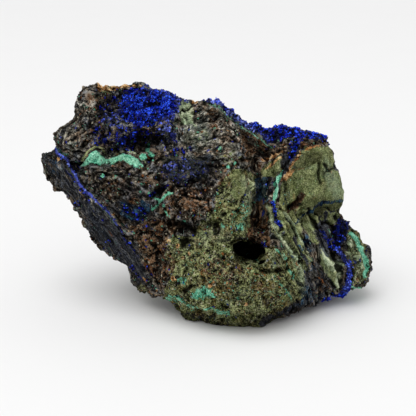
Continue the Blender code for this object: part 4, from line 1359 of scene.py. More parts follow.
@dataclass(frozen=True)
class StoneFinish:
    """The finish of the whole stone: dull brown rock with a ragged patch of each mineral over it.

    Widths and depths are in millimetres, and shares run from 0 to 1.
    """

    ridge: float = 2.2
    ridge_sharp: float = 8.0
    ridge_share: float = 0.3
    grain: float = 1.0
    grain_contrast: float = 2.0
    fine_grain: float = 0.42
    fine_contrast: float = 2.1
    grain_share: float = 0.35
    stain: Colour = (0.62, 0.4, 0.28)
    stain_share: float = 0.85
    chill: Colour = (0.78, 0.98, 1.0)
    chill_share: float = 0.4
    # Colours of the painted highlight (partly a paler tone), of the painted shade, and of the black painted
    # in pits and hollows.
    pale: Colour = (0.13, 0.18, 0.125)
    pale_and_highlight_blue: Colour = (0.1, 0.13, 0.62)
    painted_shade: Colour = (0.22, 0.2, 0.2)
    painted_shade_share: float = 0.8
    black: Colour = (0.0015, 0.0012, 0.001)
    pit_shade_share: float = 0.94
    pore: float = 0.65
    pore_width: float = 0.42
    pore_share: float = 0.85
    pore_depth: float = 0.5
    pale_lines: Hairlines = Hairlines(2.6, 0.022, 0.6)
    fine_lines: Hairlines = Hairlines(1.2, 0.04, 0.35)
    dark_lines: Hairlines = Hairlines(4.0625, 0.022, 0.7)
    line_glow: Colour = (0.22, 0.21, 0.17)
    groove_depth: float = 0.4
    roughness: float = 0.85
    crystal_polish: float = 0.4
    shine: float = 0.02
    bump: float = 0.5

    def material(self, groups: Groups) -> bpy.types.Material:
        """Builds the material.

        Args:
            groups: The shader groups that the finishes share.

        Returns:
            The stone's material.
        """
        made = bpy.data.materials.new("weathered_stone")
        made.use_nodes = True
        web = Web(made.node_tree)
        inputs = made.node_tree.nodes["Principled BSDF"].inputs
        place, drawn = web.painted("grain_place", "Vector"), web.painted("flow_place", "Vector")
        ridges = web.group(groups.ridges, Place=place, Scale=per_metre(self.ridge), Sharp=self.ridge_sharp)
        grit = web.group(
            groups.grit, Place=web.place(), Scale=per_metre(self.grain), Contrast=self.grain_contrast
        )
        dust = web.group(
            groups.grit, Place=web.place(), Scale=per_metre(self.fine_grain), Contrast=self.fine_contrast
        )
        height = (grit + dust) * self.grain_share + ridges * self.ridge_share
        masks, colour = self.coats(web, groups, place, height, dust)
        bare = self.bare(masks)
        colour = self.weathered(web, groups, place, colour, bare)
        colour, groove = self.lined(web, groups, drawn, colour, bare)
        pores = web.group(groups.pores, Place=place, Scale=per_metre(self.pore), Width=self.pore_width)
        pores = pores * web.remap(web.noise(3.6, 3.0), 0.44, 0.58)
        blue = masks[Mineral.AZURITE]
        # Painted highlight, partly a paler tone: a pale green, or pale blue on azurite, screened over the
        # higher grain where painted.
        bright = web.painted("pale") * web.remap(height, 0.25, 0.6)
        colour = web.mix(bright, colour, web.mix(blue, self.pale, self.pale_and_highlight_blue), "SCREEN")
        # Painted shade: the colour is darkened where shade is painted.
        colour = web.mix(web.painted("painted_shade") * self.painted_shade_share, colour, self.painted_shade, "MULTIPLY")
        # Painted shade: black in cracks, carved hollows and low points of the relief; the dark pores are
        # mixed in with it.
        sunk = (web.painted("pit_shade") * self.pit_shade_share).most(web.painted("sunk"))
        colour = web.mix(sunk.most(pores * (bare * self.pore_share)), colour, self.black)
        web.feed(inputs["Base Color"], colour)
        web.feed(inputs["Roughness"], self.roughness - blue * self.crystal_polish)
        inputs["Specular IOR Level"].default_value = self.shine
        deep = height - pores * self.pore_depth - groove * self.groove_depth
        web.feed(inputs["Normal"], web.bump(deep * (bare * 0.65 + 0.35), self.bump))
        return made

    def coats(
        self, web: Web, groups: Groups, place: Value, height: Value, dust: Value
    ) -> tuple[dict[Mineral, Value], Value]:
        """Lays each mineral over the bare rock.

        Args:
            web: The material's nodes.
            groups: The shader groups that the finishes share.
            place: The place that patterns are read at.
            height: The height of the grain and its ridges, from 0 to 1.
            dust: The height of the finest grain alone, from 0 to 1.

        Returns:
            Each mineral's mask, and the colour of the whole.
        """
        # Painted light: grain higher than its neighbours is painted lighter and lower grain darker, from the
        # relief attribute.
        lit = web.painted("relief") * 0.17 + (web.painted("shade") - 0.5) * 0.45
        cloud = (web.noise(4.5, 5.0, 0.65) - 0.5) * 0.9
        rough = height + lit + cloud
        calm = dust * 0.5 + (lit + 0.25) + cloud * 0.7
        sandy = dust * 0.56 + height * 0.44 + lit + cloud * 0.6
        even = (Mineral.OLIVE, Mineral.INK, Mineral.CHALK, Mineral.MALACHITE)
        own = {Mineral.SAGE: sandy} | {mineral: calm for mineral in even}
        cool = web.remap(web.noise(3.5, 4.0), 0.42, 0.58)
        colour = web.mix(cool, ROCK_TONE.colour(web, rough), COOL_ROCK_TONE.colour(web, rough))
        masks = {}
        for mineral, coat in COATS.items():
            zone, scale = web.painted(mineral.value), per_metre(coat.patch)
            masks[mineral] = web.group(groups.edge, Place=place, Zone=zone, Scale=scale, Ragged=coat.ragged)
            colour = web.mix(masks[mineral], colour, coat.tone.colour(web, own.get(mineral, rough)))
        return masks, colour

    def bare(self, masks: dict[Mineral, Value]) -> Value:
        """How open the surface is to loose specks and pores: little on even clay, crust and crystal.

        Args:
            masks: Each mineral's mask.

        Returns:
            A value from 0 to 1.
        """
        left = 1.0 - masks[Mineral.OLIVE] * 0.72
        taken = {Mineral.AZURITE: 0.9, Mineral.MALACHITE: 0.8, Mineral.INK: 0.85, Mineral.CHALK: 0.6}
        for mineral, share in taken.items():
            left = left * (1.0 - masks[mineral] * share)
        return left

    def weathered(self, web: Web, groups: Groups, place: Value, colour: Value, bare: Value) -> Value:
        """Stains the rock brown and cold in clouds, and strews specks over it.

        Args:
            web: The material's nodes.
            groups: The shader groups that the finishes share.
            place: The place that patterns are read at.
            colour: The colour under the stains.
            bare: How open the surface is to loose specks.

        Returns:
            The stained and speckled colour.
        """
        stained = web.remap(web.noise(5.0, 5.0, 0.65, 0.5), 0.46, 0.62) * bare
        colour = web.mix(stained * self.stain_share, colour, self.stain, "MULTIPLY")
        chilled = web.remap(web.noise(8.0, 4.0, 0.6), 0.52, 0.64)
        colour = web.mix(chilled * self.chill_share, colour, self.chill, "MULTIPLY")
        for fleck in FLECKS:
            scale = per_metre(fleck.width)
            speck = web.group(groups.specks, Place=place, Scale=scale, Share=fleck.share, Shift=fleck.shift)
            colour = web.mix(speck * bare, colour, fleck.colour)
        return colour

    def lined(
        self, web: Web, groups: Groups, drawn: Value, colour: Value, bare: Value
    ) -> tuple[Value, Value]:
        """Draws the pale and dark edges of thin layers.

        Args:
            web: The material's nodes.
            groups: The shader groups that the finishes share.
            drawn: The place, drawn out along each flow.
            colour: The colour under the lines.
            bare: How open the surface is to loose specks.

        Returns:
            The colour with the lines on it, and the mask of the dark ones.
        """
        bright = self.pale_lines.mask(web, groups, drawn).most(self.fine_lines.mask(web, groups, drawn))
        groove = self.dark_lines.mask(web, groups, drawn)
        raised = web.mix(1.0, colour, self.line_glow, "ADD")
        colour = web.mix(bright * (bare * 0.5 + 0.25), colour, raised)
        return web.mix(groove * (bare * 0.55 + 0.2), colour, self.black), groove


@dataclass(frozen=True)
class CrystalFinish:
    """The finish of grown crystals: one tone, changed from crystal to crystal."""

    name: str
    tone: Tone
    roughness: float
    shine: float
    clump: float = 1.7
    pale_and_highlight_tint: Colour = (0.32, 0.4, 0.98)
    grain: float = 1.0 / 2.2
    grain_contrast: float = 0.8
    grain_share: float = 0.22
    own_share: float = 0.74
    blue_and_sheen_share: float = 0.42
    clump_share: float = 1.9
    painted_shade_share: float = 0.22
    bump: float = 0.06

    def material(self, groups: Groups) -> bpy.types.Material:
        """Builds the material.

        Args:
            groups: The shader groups that the finishes share.

        Returns:
            The crystals' material.
        """
        made = bpy.data.materials.new(self.name)
        made.use_nodes = True
        web = Web(made.node_tree)
        inputs = made.node_tree.nodes["Principled BSDF"].inputs
        grit = web.group(
            groups.grit, Place=web.place(), Scale=per_metre(self.grain), Contrast=self.grain_contrast
        )
        height = web.painted("shade") * self.own_share + grit * self.grain_share
        # Painted sheen: crystals are painted brighter where the sheen attribute is high.
        height = height + web.painted("blue_and_sheen") * self.blue_and_sheen_share
        height = height + (web.noise(self.clump, 2.0) - 0.5) * self.clump_share
        # Painted shade: crystals are painted darker where shade is painted.
        height = height - web.painted("painted_shade") * self.painted_shade_share
        # Painted highlight, partly a paler tone: the brighter crystals are tinted toward pale lilac or mint
        # where painted.
        pale_and_highlight_share = web.painted("pale") * web.remap(web.painted("shade"), 0.25, 0.9)
        web.feed(inputs["Base Color"], web.mix(pale_and_highlight_share, self.tone.colour(web, height), self.pale_and_highlight_tint))
        web.feed(inputs["Normal"], web.bump(grit, self.bump))
        inputs["Roughness"].default_value = self.roughness
        inputs["Specular IOR Level"].default_value = self.shine
        return made


# --- The stone ---


@dataclass
class Stone:
    """The stone's whole surface: the solid's shape with beads, hollows, chips and grain.

    Sizes are in millimetres, and the ripples that bend the painted edges are in pixels.
    """

    skin: float = 0.5
    inset: float = 0.35
    weld: float = 1e-7
    bead_step: float = 0.5
    bead_sink: float = 0.35
    eye_gap: float = 0.8
    ripple: float = 3.2
    fine_ripple: float = 1.1
    carve_ripple: float = 1.7
    reach: float = 9.0
    foot: float = 0.45
    triangles: int = 196000
    rear_weight: float = 0.15
    grain_stretch: float = 0.3
    smooth_above: float = 0.3
    crest_side: tuple[float, float] = (-7.0, -3.0)
    crest_foot: tuple[float, float] = (42.0, 47.0)
    mesh: bpy.types.Mesh | None = None
    fields: dict[str, Array] = field(default_factory=dict)
    flow_places: Array | None = None

    def build(self, node: bpy.types.Object) -> bpy.types.Object:
        """Makes the stone from the CAD solid.

        Args:
            node: The solid that it replaces.

        Returns:
            The stone, with its attributes painted.
        """
        stone = bpy.data.objects.new("stone", self.beaded(node))
        bpy.context.scene.collection.objects.link(stone)
        self.fuse(stone)
        self.mesh = stone.data
        self.nudge()
        self.paint()
        self.flow_places = self.draw_out(1.0)
        grain_places = self.draw_out(self.grain_stretch)
        self.sculpt()
        set_vectors(self.mesh, "flow_place", self.flow_places * MM)
        set_vectors(self.mesh, "grain_place", grain_places * MM)
        self.seed_growth()
        self.thin(stone)
        return stone

    def beaded(self, node: bpy.types.Object) -> bpy.types.Mesh:
        """Lays the beads on the solid's shape, as overlapping closed bodies in one mesh.

        Args:
            node: The solid, which stays as it is.

        Returns:
            The mesh.
        """
        shape = bmesh.new()
        shape.from_mesh(node.data)
        bmesh.ops.remove_doubles(shape, verts=shape.verts, dist=self.weld)
        surface = BVHTree.FromBMesh(shape)
        for number, bead in enumerate(BEADS):
            self.add_bead(shape, surface, bead, number)
        mesh = bpy.data.meshes.new("stone")
        shape.to_mesh(mesh)
        shape.free()
        return mesh

    def add_bead(self, shape: bmesh.types.BMesh, surface: BVHTree, bead: Bead, number: int) -> None:
        """Lays a row of uneven balls along a line on the surface.

        Args:
            shape: The mesh that takes the balls.
            surface: The solid's surface.
            bead: The line and its sizes.
            number: The bead's number, which picks its unevenness.
        """
        step = bead.radius * self.bead_step
        for start, end in zip(bead.path, bead.path[1:]):
            length = math.dist(start, end) / VIEW.pixels_per_slope * VIEW.distance
            count = max(1, round(length / step))
            for index in range(count + 1):
                share = index / count
                pixel = tuple(a + (b - a) * share for a, b in zip(start, end))
                place, normal, _, _ = surface.ray_cast(VIEW.place, VIEW.ray(pixel))
                if place is None:
                    continue
                wobble = noise.noise(place / MM * 0.7 + Vector((number * 3.1, 0, 0)))
                radius = bead.radius * (1.0 + bead.uneven * 2.0 * wobble)
                middle = Matrix.Translation(place + normal * (bead.lift - bead.radius * self.bead_sink) * MM)
                bmesh.ops.create_icosphere(shape, subdivisions=2, radius=radius * MM, matrix=middle)

    def fuse(self, stone: bpy.types.Object) -> None:
        """Wraps the bodies in one fine skin.

        Args:
            stone: The object that holds the bodies.
        """
        skin = stone.modifiers.new("skin", "REMESH")
        skin.mode = "VOXEL"
        skin.voxel_size = self.skin * MM
        mesh = baked(stone)
        stone.modifiers.clear()
        stone.data = mesh

    def nudge(self) -> None:
        """Pushes whole regions of the rock, front and back."""
        points = mesh_points(self.mesh)
        pixels = VIEW.project(points)
        ground = points[:, 2].min()
        moved = points.copy()
        for nudge in NUDGES:
            moved += np.outer(nudge.shape.cover(pixels), nudge.push) * MM
        moved[:, 2] = np.maximum(moved[:, 2], ground)
        set_points(self.mesh, moved)

    def seen(self, points: Array, normals: Array) -> Array:
        """Finds which points the camera sees.

        Args:
            points: The mesh's points, one in each row.
            normals: Their normals.

        Returns:
            1 or 0 for each point.
        """
        faces = [tuple(face.vertices) for face in self.mesh.polygons]
        surface = BVHTree.FromPolygons([Vector(point) for point in points], faces)
        eye = VIEW.place
        found = np.zeros(len(points))
        for index, (point, normal) in enumerate(zip(points, normals)):
            start = Vector(point) + Vector(normal) * self.eye_gap * MM
            way = eye - start
            if way.dot(Vector(normal)) <= 0.0:
                continue
            hit = surface.ray_cast(start, way.normalized(), way.length)[0]
            found[index] = 0.0 if hit else 1.0
        return found

    def paint(self) -> None:
        """Works out where each mineral and each flow is, front and back."""
        points, normals = mesh_points(self.mesh), mesh_normals(self.mesh)
        places = points / MM
        seen = self.seen(points, normals)
        self.fields["seen"] = seen
        ripple = [
            self.ripple * noise_field(places, 6.0, seed, 2)
            + self.fine_ripple * noise_field(places, 1.6, seed + 5, 2)
            for seed in (1, 2)
        ]
        pixels, bend = VIEW.project(points), np.stack(ripple, axis=1)
        front = {mineral.value: np.zeros(len(points)) for mineral in Mineral}
        for mineral, paint in ((mineral, paint) for mineral, paints in PAINTS.items() for paint in paints):
            cover = paint.shape.cover(pixels + bend * paint.shape.loose) * paint.strength
            under = front[mineral.value]
            less = paint.strength < 0.0
            front[mineral.value] = np.clip(under + cover, 0.0, 1.0) if less else np.maximum(under, cover)
        front |= {flow.name: flow.shape.cover(pixels + bend) for flow in FLOWS}
        front["seam_line"] = SEAM_LINE.cover(pixels + bend * SEAM_LINE.loose)
        tree = nearest_tree(places, np.flatnonzero(seen))
        source, share = np.arange(len(points)), np.ones(len(points))
        for index in np.flatnonzero(seen == 0):
            _, nearest, away = tree.find(Vector(places[index]))
            source[index] = nearest
            share[index] = math.exp(-((away / self.reach) ** 2))
        share = Links.of(self.mesh).averaged(share, 2)
        behind = self.behind(places, normals)
        for key, values in front.items():
            spread = values[source] * share + behind.get(key, 0.0) * (1.0 - share)
            self.fields[key] = np.clip(spread, 0.0, 1.0)

    def behind(self, places: Array, normals: Array) -> dict[str, Array]:
        """Places each mineral and flow on the sides that the front view doesn't show.

        Args:
            places: The mesh's points in millimetres, one in each row.
            normals: Their normals.

        Returns:
            The values of each mineral or flow, by its name.
        """
        wide = noise_field(places, 22.0, 31, 3)
        other = noise_field(places, 17.0, 47, 3)
        third = noise_field(places, 12.0, 53, 3)
        top = smooth_step(normals[:, 2] + 0.35 * third, 0.25, 0.6) * smooth_step(places[:, 2], 40.0, 52.0)
        druse, crust = smooth_step(third, 0.16, 0.42) * 0.6, top * smooth_step(other, -0.25, 0.1)
        minerals = {
            Mineral.AZURITE: np.maximum(druse, crust),
            Mineral.MALACHITE: smooth_step(-third - 0.4 * np.abs(wide), 0.22, 0.4) * 0.7,
            Mineral.SAGE: smooth_step(wide, 0.02, 0.14),
            Mineral.OLIVE: smooth_step(other, 0.22, 0.34) * 0.8,
            Mineral.RUST: smooth_step(-wide, 0.05, 0.25) * 0.8,
            Mineral.OCHRE: smooth_step(noise_field(places, 6.0, 61, 2), 0.42, 0.55) * 0.8,
            Mineral.ASH: smooth_step(-other, 0.05, 0.3) * 0.7,
            Mineral.INK: smooth_step(-other - wide, 0.2, 0.5) * 0.8,
            Mineral.TEAL: smooth_step(third - wide, 0.35, 0.6) * 0.6,
            Mineral.CHALK: smooth_step(wide + third, 0.45, 0.7) * 0.5,
            Mineral.GLOW: smooth_step(third, 0.1, 0.4) * 0.7,
        }
        flows = {
            "columns": smooth_step(-wide + other, 0.1, 0.5),
            "flank": smooth_step(wide - third, 0.2, 0.6),
        }
        return {mineral.value: values for mineral, values in minerals.items()} | flows

    def draw_out(self, share: float) -> Array:
        """Works out the places that patterns are read at, drawn out along each flow.

        Args:
            share: How much of each flow's stretch is used, from 0 to 1.

        Returns:
            Places in millimetres, one in each row.
        """
        places = mesh_points(self.mesh) / MM
        drawn = places.copy()
        for flow in FLOWS:
            here = self.fields[flow.name]
            middle = (places * here[:, None]).sum(axis=0) / max(here.sum(), 1e-6)
            along = np.array(Vector(flow.along).normalized())
            stretch = 1.0 + (flow.stretch - 1.0) * share
            drawn -= np.outer(here * ((places - middle) @ along) * (1.0 - 1.0 / stretch), along)
        return drawn

    def thin(self, stone: bpy.types.Object) -> None:
        """Thins the mesh, most of all where the front view doesn't reach, and keeps what is painted.

        Args:
            stone: The object that holds the mesh.
        """
        dense = self.mesh
        group = stone.vertex_groups.new(name="kept")
        front = self.fields["seen"] > 0.5
        for weight, chosen in ((1.0, front), (self.rear_weight, ~front)):
            group.add([int(index) for index in np.flatnonzero(chosen)], weight, "REPLACE")
        thin = stone.modifiers.new("thin", "DECIMATE")
        thin.ratio = self.triangles / sum(len(face.vertices) - 2 for face in dense.polygons)
        thin.vertex_group = group.name
        thin.invert_vertex_group = True
        self.mesh = baked(stone)
        stone.modifiers.clear()
        stone.data = self.mesh
        stone.vertex_groups.clear()
        tree = nearest_tree(mesh_points(dense), np.arange(len(dense.vertices)))
        nearest = np.array([tree.find(Vector(point))[1] for point in mesh_points(self.mesh)])
        kinds = {"FLOAT": (1, "value", set_values), "FLOAT_VECTOR": (3, "vector", set_vectors)}
        for layer in dense.attributes:
            if layer.domain == "POINT" and layer.data_type in kinds and layer.name != "position":
                size, kind, write = kinds[layer.data_type]
                values = np.empty(len(dense.vertices) * size, np.float32)
                layer.data.foreach_get(kind, values)
                write(self.mesh, layer.name, values.reshape(-1, size)[nearest])
        self.shade()

    def shade(self) -> None:
        """Leaves the broken rock in facets, and smooths the even clay."""
        olive = np.empty(len(self.mesh.vertices), np.float32)
        self.mesh.attributes[Mineral.OLIVE.value].data.foreach_get("value", olive)
        even = [min(olive[v] for v in face.vertices) > self.smooth_above for face in self.mesh.polygons]
        self.mesh.polygons.foreach_set("use_smooth", even)
        self.mesh.update()

    def sculpt(self) -> None:
        """Carves the hollows and raises the grain of each mineral."""
        points, normals = mesh_points(self.mesh), mesh_normals(self.mesh)
        links = Links.of(self.mesh)
        places = points / MM
        bend = np.stack([noise_field(places, 3.0, seed, 2) for seed in (8, 9)], axis=1) * self.carve_ripple
        pixels = VIEW.project(points) + bend
        facing = smooth_step(-(normals @ np.array(VIEW.forward)), 0.0, 0.3)
        seen = self.seen(points, normals) * facing
        push = np.zeros(len(points))
        pit_shade = self.fields[Mineral.PIT_SHADE.value]
        for carving in CARVINGS:
            cover = carving.shape.cover(pixels) * seen
            push = np.where(cover * abs(carving.depth) > np.abs(push), cover * carving.depth, push)
            # Painted shade: each carving paints its bottom black by its dark share.
            pit_shade = np.maximum(pit_shade, cover * carving.dark)
        height = self.relief(places)
        lift = (height - self.inset)[:, None] * MM
        moved = points + normals * lift + np.outer(push, np.array(VIEW.forward)) * MM
        ground = points[:, 2].min()
        flat = points[:, 2] < ground + self.foot * MM
        moved[flat, 2] = points[flat, 2]
        moved[:, 2] = np.maximum(moved[:, 2], ground)
        set_points(self.mesh, moved)
        fine = height - links.averaged(height, 12)
        wide = height - links.averaged(height, 90)
        set_values(self.mesh, "relief", np.clip(fine / 0.4, -1.5, 1.5))
        # Painted shade: points lying below their neighbours' average are painted darker, as shade in hollows.
        self.fields["sunk"] = smooth_step(-fine, 0.06, 0.5) * 0.85 + smooth_step(-wide, 0.3, 1.6) * 0.5
        set_values(self.mesh, "sunk", np.clip(self.fields["sunk"], 0.0, 0.93))
        set_values(self.mesh, "shade", np.full(len(points), 0.5))
        self.fields[Mineral.PIT_SHADE.value] = pit_shade
        # The painted sheen comes and goes in clumps.
        clump = noise_field(places, 2.4, 21, 2)
        self.fields[Mineral.GLOW.value] *= np.clip(0.75 + 1.3 * clump, 0.1, 1.3)
        for mineral in Mineral:
            set_values(self.mesh, mineral.value, self.fields[mineral.value])

    def relief(self, places: Array) -> Array:
        """Works out the height of the broken and grained surface over the plain one.

        Args:
            places: The mesh's points in millimetres, one in each row.

        Returns:
            A height in millimetres for each point.
        """
        mineral = {m: self.fields[m.value] for m in Mineral}
        smooth = mineral[Mineral.OLIVE]
        granular = mineral[Mineral.SAGE] * (1.0 - smooth)
        flowing = np.clip(sum(self.fields[flow.name] for flow in FLOWS), 0.0, 1.0)
        broken = np.clip(1.0 - mineral[Mineral.SAGE] - smooth, 0.12, 1.0) * (1.0 - 0.45 * flowing)
        broken *= (1.0 - 0.6 * mineral[Mineral.INK]) * (1.0 - 0.8 * mineral[Mineral.MALACHITE])
        rock = (
            1.9 * chip_field(places, 9.0, 1)
            + 1.2 * chip_field(self.flow_places, 3.8, 2)
            + 0.75 * terraced(noise_field(self.flow_places, 2.8, 18, 3), 0.25)
            + 0.22 * noise_field(self.flow_places, 1.2, 3, 2)
            - 0.9 * crack_field(places, 6.5, 12, 0.09)
        )
        grain = (
            0.9 * noise_field(places, 8.0, 6, 2)
            + 0.5 * chip_field(places, 3.0, 14)
            + 0.55 * terraced(noise_field(places, 2.6, 19, 3), 0.25)
            + 0.14 * noise_field(places, 1.2, 7, 2)
            - 0.4 * pit_field(places, 1.7, 8)
            - 0.8 * pit_field(places, 5.0, 13) * smooth_step(noise_field(places, 5.0, 15, 1), 0.0, 0.3)
        )
        calm = (
            0.45 * noise_field(places, 10.0, 9, 2)
            + 0.35 * chip_field(places, 9.0, 16)
            + 0.11 * noise_field(places, 1.4, 10, 2)
            - 0.15 * crack_field(places, 11.0, 17, 0.04)
        )
        folded = np.zeros(len(places))
        for number, flow in enumerate(FLOWS):
            drawn = noise_field(self.flow_places, flow.size * 1.8, 20 + number, 2)
            folded += self.fields[flow.name] * flow.height * terraced(drawn, 0.22)
        crust = mineral[Mineral.AZURITE] * (0.3 + 0.4 * noise_field(places, 1.4, 11, 2))
        return broken * rock + granular * grain + smooth * calm + folded + crust

    def seed_growth(self) -> None:
        """Writes how thickly each kind of grain grows over the surface, and which way it lies."""
        points = mesh_points(self.mesh)
        places = points / MM
        get = self.fields
        off_floor = smooth_step(places[:, 2], 1.2, 2.5)
        clump = noise_field(places, 2.2, 71, 3)
        olive, sage = get[Mineral.OLIVE.value], get[Mineral.SAGE.value]
        blue = get[Mineral.AZURITE.value]
        bare = np.clip(1.0 - sage - olive - blue, 0.0, 1.0)
        crest = smooth_step(places[:, 0], *self.crest_side) * smooth_step(places[:, 2], *self.crest_foot)
        dark = get[Mineral.INK.value]
        rear = 0.45 + 0.55 * get["seen"]
        growth = {
            "grow_azurite": smooth_step(0.85 * blue + 1.5 * clump, 0.3, 0.65) * smooth_step(blue, 0.12, 0.4)
            * (1.0 - 0.8 * crest) * (1.0 - 0.7 * get["seam_line"]) * rear,
            "grow_lumps": smooth_step(blue, 0.45, 0.8) * crest * rear,
            "grow_malachite": smooth_step(0.9 * get[Mineral.MALACHITE.value] + 0.9 * clump, 0.4, 0.7) * rear,
            "grow_grit": sage * (1.0 - olive) * smooth_step(clump, -0.4, 0.4) * rear,
            "grow_crumbs": bare * smooth_step(clump, -0.3, 0.4)
            * (1.0 - 0.8 * get[Mineral.PIT_SHADE.value]) * (1.0 - 0.7 * dark) * rear,
        }
        for name, values in growth.items():
            set_values(self.mesh, name, np.clip(values, 0.0, 1.0) * off_floor)
        swirl = np.stack([noise_field(places, 14.0, seed, 1) for seed in (81, 82, 83)], axis=1) * 1.2
        for flow in FLOWS:
            swirl += self.fields[flow.name][:, None] * np.array(Vector(flow.along).normalized()) * 1.6
        set_vectors(self.mesh, "grain_way", swirl)


# --- Grains and crystals ---


class Grain(Enum):
    """The shape of one grain."""

    PRISM = "prism"
    CRUMB = "crumb"
    BUBBLE = "bubble"
    LUMP = "lump"


def live(sockets: Sockets, name: str) -> Socket:
    """The socket of a name that is in use."""
    return next(s for s in sockets if s.enabled and s.name == name)


@dataclass
class GrowthTree:
    """A Geometry Nodes tree that scatters one kind of grain over a surface."""

    grain: Grain
    tree: bpy.types.NodeTree | None = None

    INPUTS = {
        "Spacing": "Float", "Density": "Float", "Where": "String", "Smallest": "Vector", "Largest": "Vector",
        "Tilt": "Float", "Sink": "Float", "Along": "Float", "Seed": "Int", "Material": "Material",
    }

    def __post_init__(self) -> None:
        """Builds the tree."""
        self.tree = bpy.data.node_groups.new(f"grow_{self.grain.value}", "GeometryNodeTree")
        faces = self.tree.interface
        faces.new_socket("Geometry", in_out="INPUT", socket_type="NodeSocketGeometry")
        for name, kind in self.INPUTS.items():
            faces.new_socket(name, in_out="INPUT", socket_type=f"NodeSocket{kind}")
        faces.new_socket("Geometry", in_out="OUTPUT", socket_type="NodeSocketGeometry")
        web = Web(self.tree)
        given = web.add("NodeGroupInput").outputs
        points = self.points(web, given)
        sizes = web.add("FunctionNodeRandomValue", data_type="FLOAT_VECTOR")
        self.tree.links.new(given["Smallest"], live(sizes.inputs, "Min"))
        self.tree.links.new(given["Largest"], live(sizes.inputs, "Max"))
        self.tree.links.new(given["Seed"], sizes.inputs["Seed"])
        turn = self.turn(web, given, points)
        spots = {"Points": points.outputs["Points"], "Instance": self.template(web, given)}
        grown = web.add("GeometryNodeInstanceOnPoints", spots)
        self.tree.links.new(turn, grown.inputs["Rotation"])
        self.tree.links.new(live(sizes.outputs, "Value"), grown.inputs["Scale"])
        draw = {"Seed": self.other_seed(web, given, 7)}
        shade = web.add("FunctionNodeRandomValue", draw, data_type="FLOAT")
        inputs = {"Geometry": grown.outputs["Instances"], "Name": "shade"}
        store = web.add("GeometryNodeStoreNamedAttribute", inputs, data_type="FLOAT", domain="INSTANCE")
        self.tree.links.new(live(shade.outputs, "Value"), live(store.inputs, "Value"))
        real = web.add("GeometryNodeRealizeInstances", {"Geometry": store.outputs["Geometry"]})
        inputs = {"Geometry": real.outputs["Geometry"], "Material": given["Material"]}
        dressed = web.add("GeometryNodeSetMaterial", inputs)
        web.add("NodeGroupOutput", {"Geometry": dressed.outputs["Geometry"]})

    def other_seed(self, web: Web, given: Sockets, step: int) -> Socket:
        """The tree's seed, moved on by a step."""
        return web.add("FunctionNodeIntegerMath", {0: given["Seed"], 1: step}, operation="ADD").outputs[0]

    def points(self, web: Web, given: Sockets) -> bpy.types.Node:
        """Spreads points over the surface, thickly where the named attribute is high.

        Args:
            web: The tree's nodes.
            given: What the tree takes in.

        Returns:
            The node that spreads them.
        """
        where = web.add("GeometryNodeInputNamedAttribute", {"Name": given["Where"]}, data_type="FLOAT")
        inputs = {
            "Mesh": given["Geometry"], "Distance Min": given["Spacing"], "Density Max": given["Density"],
            "Density Factor": live(where.outputs, "Attribute"), "Seed": given["Seed"],
        }
        return web.add("GeometryNodeDistributePointsOnFaces", inputs, distribute_method="POISSON")

    def turn(self, web: Web, given: Sockets, points: bpy.types.Node) -> Socket:
        """Stands each grain on the surface, lays it along the rock's grain, and tips it at random.

        Args:
            web: The tree's nodes.
            given: What the tree takes in.
            points: The node that spreads the points.

        Returns:
            Each grain's rotation.
        """
        way = web.add("GeometryNodeInputNamedAttribute", {"Name": "grain_way"}, data_type="FLOAT_VECTOR")
        inputs = {"Rotation": points.outputs["Rotation"], "Factor": given["Along"]}
        lie = web.add("FunctionNodeAlignRotationToVector", inputs, axis="X", pivot_axis="Z")
        self.tree.links.new(live(way.outputs, "Attribute"), lie.inputs["Vector"])
        tilt, twist = Value(web, given["Tilt"]), 0.5
        low = web.add("ShaderNodeCombineXYZ", {"X": tilt * -1.0, "Y": tilt * -1.0, "Z": -twist})
        high = web.add("ShaderNodeCombineXYZ", {"X": tilt, "Y": tilt, "Z": twist})
        draw = {"Seed": self.other_seed(web, given, 3)}
        tip = web.add("FunctionNodeRandomValue", draw, data_type="FLOAT_VECTOR")
        self.tree.links.new(low.outputs[0], live(tip.inputs, "Min"))
        self.tree.links.new(high.outputs[0], live(tip.inputs, "Max"))
        euler = web.add("FunctionNodeEulerToRotation", {"Euler": live(tip.outputs, "Value")})
        inputs = {"Rotation": lie.outputs[0], "Rotate By": euler.outputs[0]}
        return web.add("FunctionNodeRotateRotation", inputs, rotation_space="LOCAL").outputs[0]

    def template(self, web: Web, given: Sockets) -> Socket:
        """Makes one grain, a unit across.

        Args:
            web: The tree's nodes.
            given: What the tree takes in.

        Returns:
            The grain, sunk by its share.
        """
        if self.grain is Grain.PRISM:
            sizes = {"Vertices": 6, "Radius Top": 0.2, "Radius Bottom": 0.5, "Depth": 1.0}
            shape = web.add("GeometryNodeMeshCone", sizes)
        else:
            shape = web.add("GeometryNodeMeshIcoSphere", {"Radius": 0.5, "Subdivisions": 1})
        inputs = {"Geometry": shape.outputs["Mesh"], "Shade Smooth": self.grain in (Grain.BUBBLE, Grain.LUMP)}
        smooth = web.add("GeometryNodeSetShadeSmooth", inputs)
        shift = web.add("ShaderNodeCombineXYZ", {"Z": Value(web, given["Sink"]) * -1.0})
        inputs = {"Geometry": smooth.outputs["Geometry"], "Translation": shift.outputs[0]}
        return web.add("GeometryNodeTransform", inputs).outputs["Geometry"]


